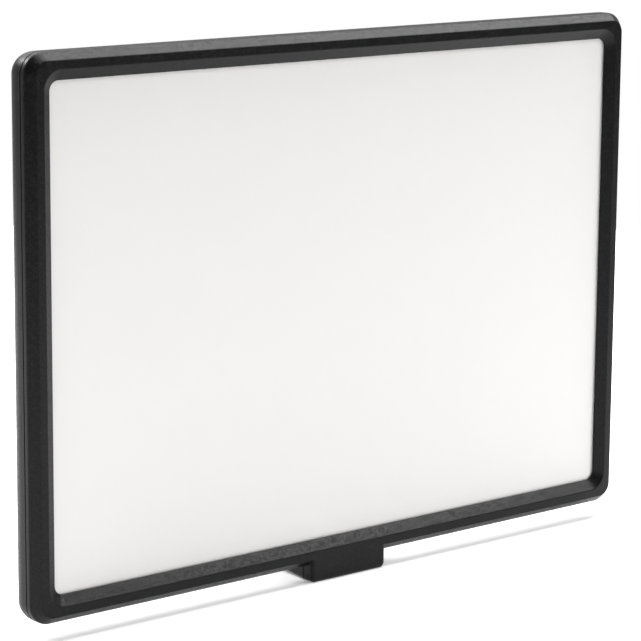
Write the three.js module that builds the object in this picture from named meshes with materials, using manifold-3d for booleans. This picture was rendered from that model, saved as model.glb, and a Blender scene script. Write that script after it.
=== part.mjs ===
// Slim edge-lit LED panel light: a two-shell moulded case round an opal diffuser, with a rear hump
// that holds the driver board and controls, a slide-on battery plate and a threaded foot.
// Millimetres. X runs across the panel, Y runs from the lit face to the back, Z is up.
// Every piece is drawn in the panel frame, where Y = 0 is the front face and Z = 0 is the foot's base.
import * as THREE from 'three';
import * as BufferGeometryUtils from 'three/addons/utils/BufferGeometryUtils.js';
import Module from 'manifold-3d';

const wasm = await Module();
wasm.setup();

// ---------------------------------------------------------------------------------------------
// Driving dimensions
// ---------------------------------------------------------------------------------------------
const PANEL_WIDTH = 189;
const PANEL_HEIGHT = 132;
const OVERALL_DEPTH = 26;
const FOOT_HEIGHT = 4.1;
const GAP = 0.3;                      // clearance between neighbouring pieces
const CORNER_STEPS = 6;
const FILLET_STEPS = 2;

const PANEL_BOTTOM = FOOT_HEIGHT;
const PANEL_MIDDLE = PANEL_BOTTOM + PANEL_HEIGHT / 2;

// Front bezel section, as inset from the outer edge and depth behind the front face
const CHAMFER_INSET = 1.9;
const CHAMFER_DEPTH = 2.2;
const FLAT_INSET = 3.98;
const LIP_INSET = 6.54;
const LIP_DEPTH = 1.62;
const BEZEL_BACK = 1.9;
const SEAM = 3.6;
const SEAM_GROOVE = 0.15;             // half of the groove between the two shells
const TONGUE_INSET = 1.8;
const TONGUE_WALL = 0.7;
const TONGUE_END = 5.0;
const OUTER_CORNER = 5.2;
const CHAMFER_CORNER = 3.3;
const FLAT_CORNER = 4.8;
const LIP_CORNER = 2.4;

// Rear cover
const COVER_WALL = 1.5;
const COVER_BACK = 10.2;
const COVER_EDGE_START = 5.0;
const COVER_EDGE_INSET = 4.0;
const HUMP = { width: 116, height: 96, corner: 9, z: 72, back: 19, wall: 1.6, edge: 2.2, draft: 0.08 };
const HUMP_INNER_BACK = HUMP.back - HUMP.wall;

// Foot and tripod socket
const FOOT_WIDTH = 24;
const FOOT_CORNER = 1.3;
const FOOT_EDGE = 0.9;
const FOOT_DRAFT = 0.07;
const STEM_TOP = 34;
const SOCKET = { y: 12.6, hole: 3.175, body: 4.3, flange: 5.0, flangeHeight: 1.1, height: 8.4, depth: 7.2 };

// Optical stack, front to back
const DIFFUSER = { inset: 2.9, corner: 3.3, front: 2.2, back: 3.4 };
const GUIDE = { sideInset: 5.2, endInset: 4.6, corner: 1, front: 3.7, back: 6.2 };
const REFLECTOR = { front: 6.5, back: 6.75 };
const BACK_PLATE = { inset: 2.8, endInset: 4.4, corner: 1.5, front: 7.05, back: 7.85, flange: 0.6 };
const LED_STRIP = { inset: 3.7, board: 0.6, chip: 0.6, front: 3.7, back: 6.4, count: 24, chipLength: 2.8 };
const LEAD_Z = 47;
const LEAD_WIDTH = 5;
const LEAD = { front: 8.15, thickness: 0.25 };

// Driver board and what stands on it
const BOARD = { width: 104, height: 84, front: 10.6, back: 11.8, corner: 2 };
const CONTROL_X = 39;
const DIAL_Z = 52;
const DISPLAY_Z = 96;
const INLET_Z = 74;
const INLET_Y = 12.9;
const DIAL = { front: 19.4, back: 25.4, skirt: 8.0, grip: 7.2, flutes: 15, bore: 3.3, shaft: 3.0 };
const SLIDER_TRAVEL = 3.0;

const CHANNEL = { width: 3.2, recess: 6, recessHeight: 10, stem: 3.6 };
const INLET = { mouth: 55.2, back: 44.8, hole: 2.9, pin: 0.9, half: 4.5, opening: 4.4 };
const VENT = { x: 75, bottom: 51, pitch: 6, rows: 8, length: 16, height: 1.8, corner: 0.85 };

// Battery plate
const PLATE = { width: 41, height: 68, front: 19.3, back: 21.7, corner: 2.5, z: 72 };
const LUG = { x: 17, top: 25.2, width: 1.6, length: 8, lip: 1.3, lipThickness: 1.1 };
const CONTACT = { width: 26, bottom: 38.6, top: 45.4, back: OVERALL_DEPTH };
const CATCH = { z: 99, width: 9, height: 5, front: 19.3, back: 24.1, flange: 1.0, cupFloor: 13.6 };

// Screws, with the depths of each kind's head, seat and tip
const SCREW_INSET = 4.1;
const COVER_SCREW_X = [-82, -28, 28, 82];
const PLATE_SCREW = { x: 17.3, bottom: 41.6, top: 102.4 };
const BOARD_SCREW = { x: 48, bottom: 34, top: 110 };
const COVER_SCREW_SHAPE = { head: 9.5, seat: 8.6, tip: 3.2, headRadius: 1.6, shankRadius: 0.7 };
const PLATE_SCREW_SHAPE = { head: 21.6, seat: 20.9, tip: 15.8, headRadius: 1.6, shankRadius: 0.7 };
const BOARD_SCREW_SHAPE = { head: 9.2, seat: 10.3, tip: 15.2, headRadius: 1.9, shankRadius: 0.7 };
const POST = 1.75;                    // radius of the posts that take the cover screws
const PILOT = 1.05;
const SHANK_ROOM = 1.1;
const HEAD_ROOM = 1.95;

// ---------------------------------------------------------------------------------------------
// Geometry helpers
// ---------------------------------------------------------------------------------------------
function toSolid(geometry) {
  const bare = geometry.clone();
  bare.deleteAttribute('normal');
  bare.deleteAttribute('uv');
  const merged = BufferGeometryUtils.mergeVertices(bare, 1e-4);
  return new wasm.Manifold(new wasm.Mesh({
    numProp: 3,
    vertProperties: new Float32Array(merged.attributes.position.array),
    triVerts: new Uint32Array(merged.index.array),
  }));
}

function toGeometry(solid) {
  const { vertProperties, triVerts } = solid.getMesh();
  const geometry = new THREE.BufferGeometry();
  geometry.setAttribute('position', new THREE.BufferAttribute(new Float32Array(vertProperties), 3));
  geometry.setIndex(new THREE.BufferAttribute(new Uint32Array(triVerts), 1));
  geometry.computeVertexNormals();
  return geometry;
}

// Joins the pieces of a geometry list to the first one, then cuts the others away.
function carve(joined, cut = []) {
  let solid = toSolid(joined[0]);
  for (const piece of joined.slice(1)) solid = solid.add(toSolid(piece));
  for (const piece of cut) solid = solid.subtract(toSolid(piece));
  return toGeometry(solid);
}

function block([x0, x1], [y0, y1], [z0, z1]) {
  const geometry = new THREE.BoxGeometry(x1 - x0, y1 - y0, z1 - z0);
  return geometry.translate((x0 + x1) / 2, (y0 + y1) / 2, (z0 + z1) / 2);
}

function rodY(x, z, radius, y0, y1, sides = 24) {
  return new THREE.CylinderGeometry(radius, radius, y1 - y0, sides).translate(x, (y0 + y1) / 2, z);
}

function rodX(y, z, radius, x0, x1, sides = 24) {
  const geometry = new THREE.CylinderGeometry(radius, radius, x1 - x0, sides);
  return geometry.rotateZ(Math.PI / 2).translate((x0 + x1) / 2, y, z);
}

// Turns a (radius, height) profile about Y, with heights measured towards +Y.
function turnedY(x, z, profile, sides = 24) {
  const points = profile.map(([radius, height]) => new THREE.Vector2(radius, height));
  return new THREE.LatheGeometry(points, sides).translate(x, 0, z);
}

// Extrudes an outline of [y, z] points along X.
function prismX(outline, x0, x1) {
  const shape = new THREE.Shape(outline.map(([y, z]) => new THREE.Vector2(y, z)));
  const geometry = new THREE.ExtrudeGeometry(shape, { depth: x1 - x0, bevelEnabled: false });
  const axes = new THREE.Matrix4().makeBasis(
    new THREE.Vector3(0, 1, 0), new THREE.Vector3(0, 0, 1), new THREE.Vector3(1, 0, 0),
  );
  return geometry.applyMatrix4(axes).translate(x0, 0, 0);
}

function roundedOutline(width, height, corner) {
  const x = width / 2;
  const z = height / 2;
  const shape = new THREE.Shape();
  shape.absarc(x - corner, -z + corner, corner, -Math.PI / 2, 0);
  shape.absarc(x - corner, z - corner, corner, 0, Math.PI / 2);
  shape.absarc(-x + corner, z - corner, corner, Math.PI / 2, Math.PI);
  shape.absarc(-x + corner, -z + corner, corner, Math.PI, 1.5 * Math.PI);
  return shape;
}

// Extrudes a shape drawn in X and Z from depth y0 to depth y1.
function slab(shape, y0, y1, x = 0, z = 0, curveSegments = CORNER_STEPS) {
  const options = { depth: y1 - y0, bevelEnabled: false, curveSegments };
  const geometry = new THREE.ExtrudeGeometry(shape, options);
  return geometry.rotateX(Math.PI / 2).translate(x, y1, z);
}

function roundedSlab(width, height, corner, y0, y1, x = 0, z = 0, steps = CORNER_STEPS) {
  return slab(roundedOutline(width, height, corner), y0, y1, x, z, steps);
}

// One rounded rectangle of points at depth y, anticlockwise as seen from the front.
function outlineRing({ width, height, corner, x = 0, z, y, steps = CORNER_STEPS }) {
  const centres = [
    [width / 2 - corner, -height / 2 + corner, -Math.PI / 2],
    [width / 2 - corner, height / 2 - corner, 0],
    [-width / 2 + corner, height / 2 - corner, Math.PI / 2],
    [-width / 2 + corner, -height / 2 + corner, Math.PI],
  ];
  const ring = [];
  for (const [centreX, centreZ, start] of centres) {
    for (let step = 0; step <= steps; step += 1) {
      const angle = start + (step / steps) * (Math.PI / 2);
      ring.push([x + centreX + corner * Math.cos(angle), y, z + centreZ + corner * Math.sin(angle)]);
    }
  }
  return ring;
}

// Skins a list of equal rings: closed on itself like a frame, or capped at both ends.
function skin(rings, closed) {
  const count = rings[0].length;
  const positions = rings.flat(2);
  const index = [];
  const bands = closed ? rings.length : rings.length - 1;
  for (let band = 0; band < bands; band += 1) {
    const near = band * count;
    const far = ((band + 1) % rings.length) * count;
    for (let j = 0; j < count; j += 1) {
      const next = (j + 1) % count;
      index.push(near + j, far + next, near + next, near + j, far + j, far + next);
    }
  }
  if (!closed) {
    const last = (rings.length - 1) * count;
    for (let j = 1; j < count - 1; j += 1) {
      index.push(0, j, j + 1, last, last + j + 1, last + j);
    }
  }
  const geometry = new THREE.BufferGeometry();
  geometry.setAttribute('position', new THREE.Float32BufferAttribute(positions, 3));
  geometry.setIndex(index);
  return geometry;
}

// A rounded pad that runs from depth front to depth back and rolls over at its back edge.
function roundedPad(pad) {
  const { width, height, corner, x = 0, z, front, back, edge, roll = edge, draft = 0, steps = 4 } = pad;
  const ringAt = (y, inset) => outlineRing({
    width: width - 2 * inset,
    height: height - 2 * inset,
    corner: Math.max(corner - inset, 0.2),
    x,
    z,
    y,
  });
  const rings = [ringAt(front, 0)];
  for (let step = 0; step <= steps; step += 1) {
    const angle = (step / steps) * (Math.PI / 2);
    const y = back - roll * (1 - Math.sin(angle));
    rings.push(ringAt(y, draft * (y - front) + edge * (1 - Math.cos(angle))));
  }
  return skin(rings, false);
}

function mesh(name, geometry, material) {
  const piece = new THREE.Mesh(geometry, material());
  piece.name = name;
  return piece;
}

// ---------------------------------------------------------------------------------------------
// Materials
// ---------------------------------------------------------------------------------------------
function finish(color, roughness, metalness) {
  return () => new THREE.MeshStandardMaterial({ color, roughness, metalness });
}

const casePlastic = finish(0x1d1e20, 0.62, 0);
const controlPlastic = finish(0x151516, 0.5, 0);
const opalAcrylic = finish(0xf1f0ec, 0.45, 0);
const clearAcrylic = finish(0xe4eef0, 0.1, 0);
const whiteFilm = finish(0xf8f8f6, 0.35, 0);
const aluminium = finish(0xb9bcc0, 0.35, 1);
const stripBoard = finish(0xe9e8e0, 0.5, 0);
const driverBoard = finish(0x14502f, 0.45, 0);
const displayGlass = finish(0x0b0d10, 0.15, 0);
const switchSteel = finish(0x9b9ea2, 0.35, 1);
const brass = finish(0xb58b4a, 0.3, 1);
const springSteel = finish(0xa7a9ac, 0.3, 1);
const blackScrew = finish(0x2a2a2c, 0.4, 1);
const flatLead = finish(0xdedbd0, 0.5, 0);
const wireRed = finish(0x9a1c16, 0.5, 0);
const wireBlack = finish(0x161616, 0.5, 0);

// ---------------------------------------------------------------------------------------------
// Front shell
// ---------------------------------------------------------------------------------------------
// The corner radius changes with the inset, so the flat face is broadest at the corners.
function bezelCorner(inset) {
  const stations = [
    [0, OUTER_CORNER],
    [CHAMFER_INSET, CHAMFER_CORNER],
    [FLAT_INSET, FLAT_CORNER],
    [LIP_INSET, LIP_CORNER],
  ];
  for (let k = 1; k < stations.length; k += 1) {
    const [start, startCorner] = stations[k - 1];
    const [end, endCorner] = stations[k];
    if (inset <= end) return THREE.MathUtils.mapLinear(inset, start, end, startCorner, endCorner);
  }
  return LIP_CORNER;
}

// Rounds the corners of a closed profile given as [inset, depth, fillet].
function filletedProfile(corners) {
  return corners.flatMap(([inset, depth, fillet], k) => {
    const corner = new THREE.Vector2(inset, depth);
    if (!fillet) return [corner];
    const [before, after] = [corners.at(k - 1), corners[(k + 1) % corners.length]].map(([u, v]) => {
      const towards = new THREE.Vector2(u, v).sub(corner).setLength(fillet);
      return towards.add(corner);
    });
    return new THREE.QuadraticBezierCurve(before, corner, after).getPoints(FILLET_STEPS);
  });
}

function bezelFrame() {
  const rim = SEAM - SEAM_GROOVE;
  const tongueInner = TONGUE_INSET + TONGUE_WALL;
  const profile = filletedProfile([
    [0, CHAMFER_DEPTH, 0.3],
    [0, rim, 0],
    [TONGUE_INSET, rim, 0],
    [TONGUE_INSET, TONGUE_END, 0],
    [tongueInner, TONGUE_END, 0],
    [tongueInner, BEZEL_BACK, 0],
    [LIP_INSET, BEZEL_BACK, 0],
    [LIP_INSET, LIP_DEPTH, 0],
    [FLAT_INSET, 0, 0.3],
    [CHAMFER_INSET, 0, 0.3],
  ]);
  const rings = profile.map(({ x: inset, y }) => outlineRing({
    width: PANEL_WIDTH - 2 * inset,
    height: PANEL_HEIGHT - 2 * inset,
    corner: bezelCorner(inset),
    z: PANEL_MIDDLE,
    y,
  }));
  return skin(rings, true);
}

function screwPlaces() {
  const bottom = PANEL_BOTTOM + SCREW_INSET;
  const top = PANEL_BOTTOM + PANEL_HEIGHT - SCREW_INSET;
  return [top, bottom].flatMap((z) => COVER_SCREW_X.map((x) => ({ x, z, edge: z > PANEL_MIDDLE ? 1 : -1 })));
}

// The front half of the foot, rounded on its front edges and lower corners.
function footFront() {
  const rings = [];
  const top = PANEL_BOTTOM + 3.2;
  const steps = 4;
  for (let step = 0; step <= steps; step += 1) {
    const angle = (step / steps) * (Math.PI / 2);
    const inset = FOOT_EDGE * (1 - Math.sin(angle));
    rings.push(outlineRing({
      width: FOOT_WIDTH - 2 * inset,
      height: top - 2 * inset,
      corner: FOOT_CORNER - inset / 2,
      z: top / 2,
      y: FOOT_EDGE * (1 - Math.cos(angle)),
      steps: 4,
    }));
  }
  rings.push(outlineRing({
    width: FOOT_WIDTH, height: top, corner: FOOT_CORNER, z: top / 2, y: SEAM - SEAM_GROOVE, steps: 4,
  }));
  return skin(rings, false);
}

function frontBezel() {
  const posts = screwPlaces().map(({ x, z }) => rodY(x, z, POST, BEZEL_BACK - 0.3, 6.0, 12));
  const pilots = screwPlaces().map(({ x, z }) => rodY(x, z, PILOT, 2.6, 6.5, 8));
  const ledge = PANEL_BOTTOM + TONGUE_INSET + TONGUE_WALL;
  const room = block([-FOOT_WIDTH, FOOT_WIDTH], [BEZEL_BACK, SEAM + 2], [ledge, ledge + 2]);
  return mesh('front_bezel', carve([bezelFrame(), footFront(), ...posts], [...pilots, room]), casePlastic);
}

// ---------------------------------------------------------------------------------------------
// Rear shell
// ---------------------------------------------------------------------------------------------
function coverPad(wall, back) {
  return roundedPad({
    width: PANEL_WIDTH - 2 * wall,
    height: PANEL_HEIGHT - 2 * wall,
    corner: OUTER_CORNER - wall,
    z: PANEL_MIDDLE,
    front: wall ? SEAM - 1 : SEAM + SEAM_GROOVE,
    back,
    edge: COVER_EDGE_INSET - wall * 0.93,
    roll: back - COVER_EDGE_START,
  });
}

function humpPad(wall, front) {
  return roundedPad({
    width: HUMP.width - 2 * wall,
    height: HUMP.height - 2 * wall,
    corner: HUMP.corner - wall,
    z: HUMP.z,
    front,
    back: HUMP.back - wall,
    edge: HUMP.edge - wall * 0.6,
    draft: HUMP.draft,
  });
}

// The rear half of the foot runs back under the hump as a drafted stem.
function footRear() {
  const front = SEAM + SEAM_GROOVE;
  const edge = 1.0;
  const ringAt = (y, roll) => {
    const inset = FOOT_DRAFT * (y - front) + roll;
    const height = STEM_TOP - inset;
    return outlineRing({
      width: FOOT_WIDTH - 2 * inset, height, corner: FOOT_CORNER, z: inset + height / 2, y, steps: 4,
    });
  };
  const rings = [ringAt(front, 0)];
  const steps = 4;
  for (let step = 0; step <= steps; step += 1) {
    const angle = (step / steps) * (Math.PI / 2);
    rings.push(ringAt(HUMP.back - edge * (1 - Math.sin(angle)), edge * (1 - Math.cos(angle))));
  }
  return skin(rings, false);
}

function ventSlots() {
  const slots = [];
  const { x, bottom, pitch, rows, length, height, corner } = VENT;
  for (const side of [-1, 1]) {
    for (let row = 0; row < rows; row += 1) {
      slots.push(roundedSlab(length, height, corner, 8, 11, side * x, bottom + row * pitch, 2));
    }
  }
  return slots;
}

function catchCup() {
  const inner = block([-5.9, 5.9], [CATCH.cupFloor, 21], [CATCH.z - 3.9, CATCH.z + 3.9]);
  const depths = [CATCH.cupFloor - 1.2, HUMP_INNER_BACK + 0.5];
  const outer = block([-7.1, 7.1], depths, [CATCH.z - 5.1, CATCH.z + 5.1]);
  return { inner, outer };
}

function cornerPlaces({ x, bottom, top }) {
  return [[-x, top], [x, top], [-x, bottom], [x, bottom]];
}

function rearCover() {
  const shell = carve(
    [coverPad(0, COVER_BACK), humpPad(0, 9.4), footRear()],
    [
      coverPad(COVER_WALL, COVER_BACK - COVER_WALL + 0.05),
      humpPad(HUMP.wall, 8),
      block([-9, 9], [8, HUMP_INNER_BACK], [11.2, 30]),
    ],
  );
  const cup = catchCup();
  const bossEnd = HUMP_INNER_BACK + 0.5;
  const bosses = [
    cup.outer,
    block([-6, 6], [7.15, 10], [PANEL_BOTTOM + 1, 11.2]),
    ...screwPlaces().map(({ x, z }) => rodY(x, z, POST, 6.3, 7.6, 10)),
    ...screwPlaces().map(({ x, z }) => rodY(x, z, 2.6, 7.3, 9.2, 12)),
    ...cornerPlaces(BOARD_SCREW).map(([x, z]) => rodY(x, z, 2.2, BOARD.back + GAP, bossEnd, 12)),
    ...cornerPlaces(PLATE_SCREW).map(([x, z]) => rodY(x, z, 2.0, 14.6, bossEnd, 12)),
  ];
  const slotHalf = (CHANNEL.stem + SLIDER_TRAVEL + 2 * GAP) / 2;
  const slotSides = [-CONTROL_X - CHANNEL.width / 2, -CONTROL_X + CHANNEL.width / 2];
  const cuts = [
    cup.inner,
    ...screwPlaces().map(({ x, z }) => rodY(x, z, SHANK_ROOM, 5, 9, 8)),
    ...screwPlaces().map(({ x, z }) => rodY(x, z, HEAD_ROOM, 8.3, 11, 12)),
    ...cornerPlaces(BOARD_SCREW).map(([x, z]) => rodY(x, z, SHANK_ROOM, 11, 16, 8)),
    ...cornerPlaces(PLATE_SCREW).map(([x, z]) => rodY(x, z, SHANK_ROOM, 15.2, 21, 8)),
    ...ventSlots(),
    rodY(-CONTROL_X, DIAL_Z, DIAL.bore, 16, 21),
    rodY(CONTROL_X, DIAL_Z, DIAL.bore, 16, 21),
    roundedSlab(26, 17, 1.6, HUMP.back - 0.9, 21, CONTROL_X, DISPLAY_Z, 4),
    roundedSlab(22, 13, 1, 16, 21, CONTROL_X, DISPLAY_Z, 4),
    roundedSlab(CHANNEL.recess, CHANNEL.recessHeight, 1, HUMP.back - 1.0, 21, -CONTROL_X, DISPLAY_Z, 4),
    block(slotSides, [16, 21], [DISPLAY_Z - slotHalf, DISPLAY_Z + slotHalf]),
    rodX(INLET_Y, INLET_Z, INLET.opening, 54, 60),
    block([-5, 5], [16, 21], [40, 44]),
    socketRecess(),
  ];
  return mesh('rear_cover', carve([shell, ...bosses], cuts), casePlastic);
}

// ---------------------------------------------------------------------------------------------
// Tripod socket
// ---------------------------------------------------------------------------------------------
function turnedZ(profile, sides = 24) {
  const points = profile.map(([radius, height]) => new THREE.Vector2(radius, height));
  return new THREE.LatheGeometry(points, sides).rotateX(Math.PI / 2).translate(0, SOCKET.y, 0);
}

function socketRecess() {
  return turnedZ([
    [0, -1],
    [SOCKET.flange + GAP, -1],
    [SOCKET.flange + GAP, SOCKET.flangeHeight + GAP],
    [SOCKET.body + GAP, SOCKET.flangeHeight + GAP],
    [SOCKET.body + GAP, SOCKET.height + GAP],
    [0, SOCKET.height + GAP],
  ]);
}

function tripodSocket() {
  const geometry = turnedZ([
    [0, SOCKET.depth],
    [SOCKET.hole, SOCKET.depth],
    [SOCKET.hole, 0.4],
    [SOCKET.hole + 0.4, 0],
    [SOCKET.flange - 0.25, 0],
    [SOCKET.flange, 0.25],
    [SOCKET.flange, SOCKET.flangeHeight],
    [SOCKET.body, SOCKET.flangeHeight],
    [SOCKET.body, SOCKET.height],
    [0, SOCKET.height],
  ]);
  return mesh('tripod_socket', geometry, brass);
}

// ---------------------------------------------------------------------------------------------
// Optical stack
// ---------------------------------------------------------------------------------------------
// Notches along the top and bottom edges let the plates pass the screw posts.
function postNotches(radius) {
  return screwPlaces().flatMap(({ x, z, edge }) => [
    rodY(x, z, radius, 0, 12, 12),
    block([x - radius, x + radius], [0, 12], edge > 0 ? [z, z + 4] : [z - 4, z]),
  ]);
}

function panelPlate(insetX, insetZ, corner, front, back) {
  return roundedSlab(
    PANEL_WIDTH - 2 * insetX, PANEL_HEIGHT - 2 * insetZ, corner, front, back, 0, PANEL_MIDDLE, 4,
  );
}

function opticalStack() {
  const notches = postNotches(2.1);
  const { inset, corner, front, back } = DIFFUSER;
  const guide = (y0, y1) => panelPlate(GUIDE.sideInset, GUIDE.endInset, GUIDE.corner, y0, y1);
  return [
    mesh('diffuser', carve([panelPlate(inset, inset, corner, front, back)], notches), opalAcrylic),
    mesh('light_guide', carve([guide(GUIDE.front, GUIDE.back)], notches), clearAcrylic),
    mesh('reflector_sheet', carve([guide(REFLECTOR.front, REFLECTOR.back)], notches), whiteFilm),
    mesh('back_plate', backPlate(), aluminium),
  ];
}

function backPlate() {
  const { inset, endInset, corner, front, back, flange } = BACK_PLATE;
  const outer = PANEL_WIDTH / 2 - inset;
  const ends = [PANEL_BOTTOM + 9, PANEL_BOTTOM + PANEL_HEIGHT - 9];
  const flanges = [-1, 1].map((side) => {
    const span = side < 0 ? [-outer, -outer + flange] : [outer - flange, outer];
    return block(span, [LED_STRIP.front, back], ends);
  });
  const leadPasses = [-1, 1].map((side) => {
    const reach = [outer - flange - 0.05, outer - flange - 1.7];
    const span = side < 0 ? [-reach[0], -reach[1]] : [reach[1], reach[0]];
    return block(span, [6, 9], [LEAD_Z - LEAD_WIDTH / 2 - 0.6, LEAD_Z + LEAD_WIDTH / 2 + 0.6]);
  });
  const socketRoom = block([-7, 7], [6, 9], [0, 12]);
  return carve(
    [panelPlate(inset, endInset, corner, front, back), ...flanges],
    [...postNotches(3.1), ...leadPasses, socketRoom],
  );
}

function ledStrip(name, side) {
  const outer = PANEL_WIDTH / 2 - LED_STRIP.inset;
  const z0 = PANEL_BOTTOM + 9;
  const z1 = PANEL_BOTTOM + PANEL_HEIGHT - 9;
  const across = (near, far) => (side < 0 ? [-near, -far] : [far, near]);
  const board = outer - LED_STRIP.board;
  const pieces = [
    block(across(outer, board), [LED_STRIP.front, LED_STRIP.back], [z0, z1]),
    block(across(outer, board), [LED_STRIP.front, 8.4], [LEAD_Z - LEAD_WIDTH / 2, LEAD_Z + LEAD_WIDTH / 2]),
  ];
  const pitch = (z1 - z0) / LED_STRIP.count;
  for (let k = 0; k < LED_STRIP.count; k += 1) {
    const z = z0 + pitch * (k + 0.5);
    const chip = across(board + 0.1, board - LED_STRIP.chip);
    pieces.push(block(chip, [4.1, 5.8], [z - LED_STRIP.chipLength / 2, z + LED_STRIP.chipLength / 2]));
  }
  return mesh(name, carve(pieces), stripBoard);
}

// A flat lead from the strip's tail, behind the back plate, up to the connector on the board.
function ledLead(name, side) {
  const start = PANEL_WIDTH / 2 - LED_STRIP.inset - LED_STRIP.board - GAP;
  const route = [[start, LEAD.front], [55, LEAD.front], [52.8, 9.55], [51.2, 9.55]];
  const upper = route.map(([x, y]) => [x, y + LEAD.thickness]).reverse();
  const outline = [...route, ...upper].map(([x, y]) => new THREE.Vector2(side * x, y));
  const options = { depth: LEAD_WIDTH, bevelEnabled: false };
  const geometry = new THREE.ExtrudeGeometry(new THREE.Shape(outline), options);
  return mesh(name, geometry.translate(0, 0, LEAD_Z - LEAD_WIDTH / 2), flatLead);
}

// ---------------------------------------------------------------------------------------------
// Driver board and the pieces on it
// ---------------------------------------------------------------------------------------------
function controlBoard() {
  const { width, height, front, back, corner } = BOARD;
  const base = roundedSlab(width, height, corner, front, back, 0, HUMP.z, 4);
  const seat = back - 0.2;
  const part = (x, z, across, up, tall) => block(
    [x - across / 2, x + across / 2], [seat, back + tall], [z - up / 2, z + up / 2],
  );
  const can = (x, z, radius, tall) => rodY(x, z, radius, seat, back + tall, 16);
  const connector = (x) => block([x - 2.4, x + 2.4], [9.0, front + 0.2], [LEAD_Z - 3.2, LEAD_Z + 3.2]);
  const parts = [
    part(0, 74, 9, 9, 1.2),
    part(-16, 58, 6, 5, 1.6),
    part(-16, 74, 6, 5, 1.6),
    part(16, 90, 5, 4, 1.2),
    part(30, 74, 8, 8, 3.6),
    part(-30, 74, 8, 8, 3.6),
    part(0, 60, 3.2, 6.4, 1.0),
    can(16, 58, 3.2, 4.4),
    can(24, 62.5, 3.2, 4.4),
    can(-24, 64, 2.6, 4.0),
    part(12, 70, 2.4, 1.4, 0.8),
    part(12, 76, 2.4, 1.4, 0.8),
    part(-8, 66, 1.4, 2.4, 0.8),
    part(8, 84, 1.4, 2.4, 0.8),
    connector(-48.5),
    connector(48.5),
  ];
  const cuts = [
    ...cornerPlaces(BOARD_SCREW).map(([x, z]) => rodY(x, z, SHANK_ROOM, 8, 14, 12)),
    block([44.4, 54], [8, 14], [INLET_Z - 5, INLET_Z + 5]),
  ];
  return mesh('control_board', carve([base, ...parts], cuts), driverBoard);
}

function dialShaft(name, x) {
  const flat = block([x - 4, x + 4], [20, 24], [DIAL_Z + 2, DIAL_Z + 4]);
  return mesh(name, carve([rodY(x, DIAL_Z, DIAL.shaft, 13.8, 23.5)], [flat]), aluminium);
}

function dialPotentiometer(name, x) {
  const body = block([x - 5.5, x + 5.5], [BOARD.back + GAP, 16.9], [DIAL_Z - 6, DIAL_Z + 6]);
  return mesh(name, carve([body], [rodY(x, DIAL_Z, DIAL.bore, 13.5, 18)]), switchSteel);
}

// A fluted knob with a skirt, a blind bore for its shaft and a pointer groove.
function dialKnob(name, x) {
  const outline = new THREE.Shape();
  const points = DIAL.flutes * 4;
  for (let k = 0; k < points; k += 1) {
    const angle = (k / points) * 2 * Math.PI;
    const radius = DIAL.grip - 0.3 * (1 + Math.cos(DIAL.flutes * angle)) / 2;
    const [u, v] = [radius * Math.cos(angle), radius * Math.sin(angle)];
    if (k === 0) outline.moveTo(u, v);
    else outline.lineTo(u, v);
  }
  const grip = slab(outline, DIAL.front + 1, DIAL.back - 0.6, x, DIAL_Z);
  const crown = turnedY(x, DIAL_Z, [
    [0, DIAL.back - 0.9],
    [DIAL.grip - 0.4, DIAL.back - 0.9],
    [DIAL.grip - 0.5, DIAL.back - 0.4],
    [DIAL.grip - 1.0, DIAL.back],
    [0, DIAL.back],
  ], 24);
  const skirt = rodY(x, DIAL_Z, DIAL.skirt, DIAL.front, DIAL.front + 1.2, 30);
  const bore = rodY(x, DIAL_Z, DIAL.bore, 18, 23.8, 16);
  const hollow = rodY(x, DIAL_Z, 5.8, 18, 20.6, 16);
  const pointer = block([-0.5, 0.5], [DIAL.back - 0.5, DIAL.back + 1], [2.6, DIAL.grip + 1]);
  pointer.rotateY(THREE.MathUtils.degToRad(140)).translate(x, 0, DIAL_Z);
  return mesh(name, carve([grip, crown, skirt], [bore, hollow, pointer]), controlPlastic);
}

function dial(name, x) {
  return [
    dialKnob(`${name}_knob`, x),
    dialShaft(`${name}_shaft`, x),
    dialPotentiometer(`${name}_potentiometer`, x),
  ];
}

function powerSwitch() {
  const x = -CONTROL_X;
  const rest = DISPLAY_Z - SLIDER_TRAVEL / 2;
  const channel = block([x - 1.5, x + 1.5], [14.6, 18], [DISPLAY_Z - 3.7, DISPLAY_Z + 3.7]);
  const body = block([x - 3, x + 3], [BOARD.back + GAP, 16.9], [DISPLAY_Z - 6.5, DISPLAY_Z + 6.5]);
  const ridges = [-1.4, 0, 1.4].map((offset) => block(
    [x - 2.2, x + 2.2], [20, 20.6], [rest + offset - 0.3, rest + offset + 0.3],
  ));
  const slider = [
    block([x - 1.2, x + 1.2], [14.9, 19], [rest - 1.8, rest + 1.8]),
    block([x - 2.2, x + 2.2], [HUMP.back - 1 + GAP, 20.1], [rest - 2.5, rest + 2.5]),
    ...ridges,
  ];
  return [
    mesh('power_switch_body', carve([body], [channel]), switchSteel),
    mesh('power_slider', carve(slider), controlPlastic),
  ];
}

function display() {
  const centred = (halfWidth, depths, halfHeight) => block(
    [CONTROL_X - halfWidth, CONTROL_X + halfWidth], depths, [DISPLAY_Z - halfHeight, DISPLAY_Z + halfHeight],
  );
  const screen = centred(10.5, [14, 17.1], 6);
  const frame = centred(12, [BOARD.back + GAP, 14.4], 8);
  const lens = roundedSlab(25.4, 16.4, 1.3, HUMP.back - 0.6, HUMP.back, CONTROL_X, DISPLAY_Z, 4);
  return [
    mesh('display_module', carve([frame, screen]), displayGlass),
    mesh('display_window', lens, displayGlass),
  ];
}

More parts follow.
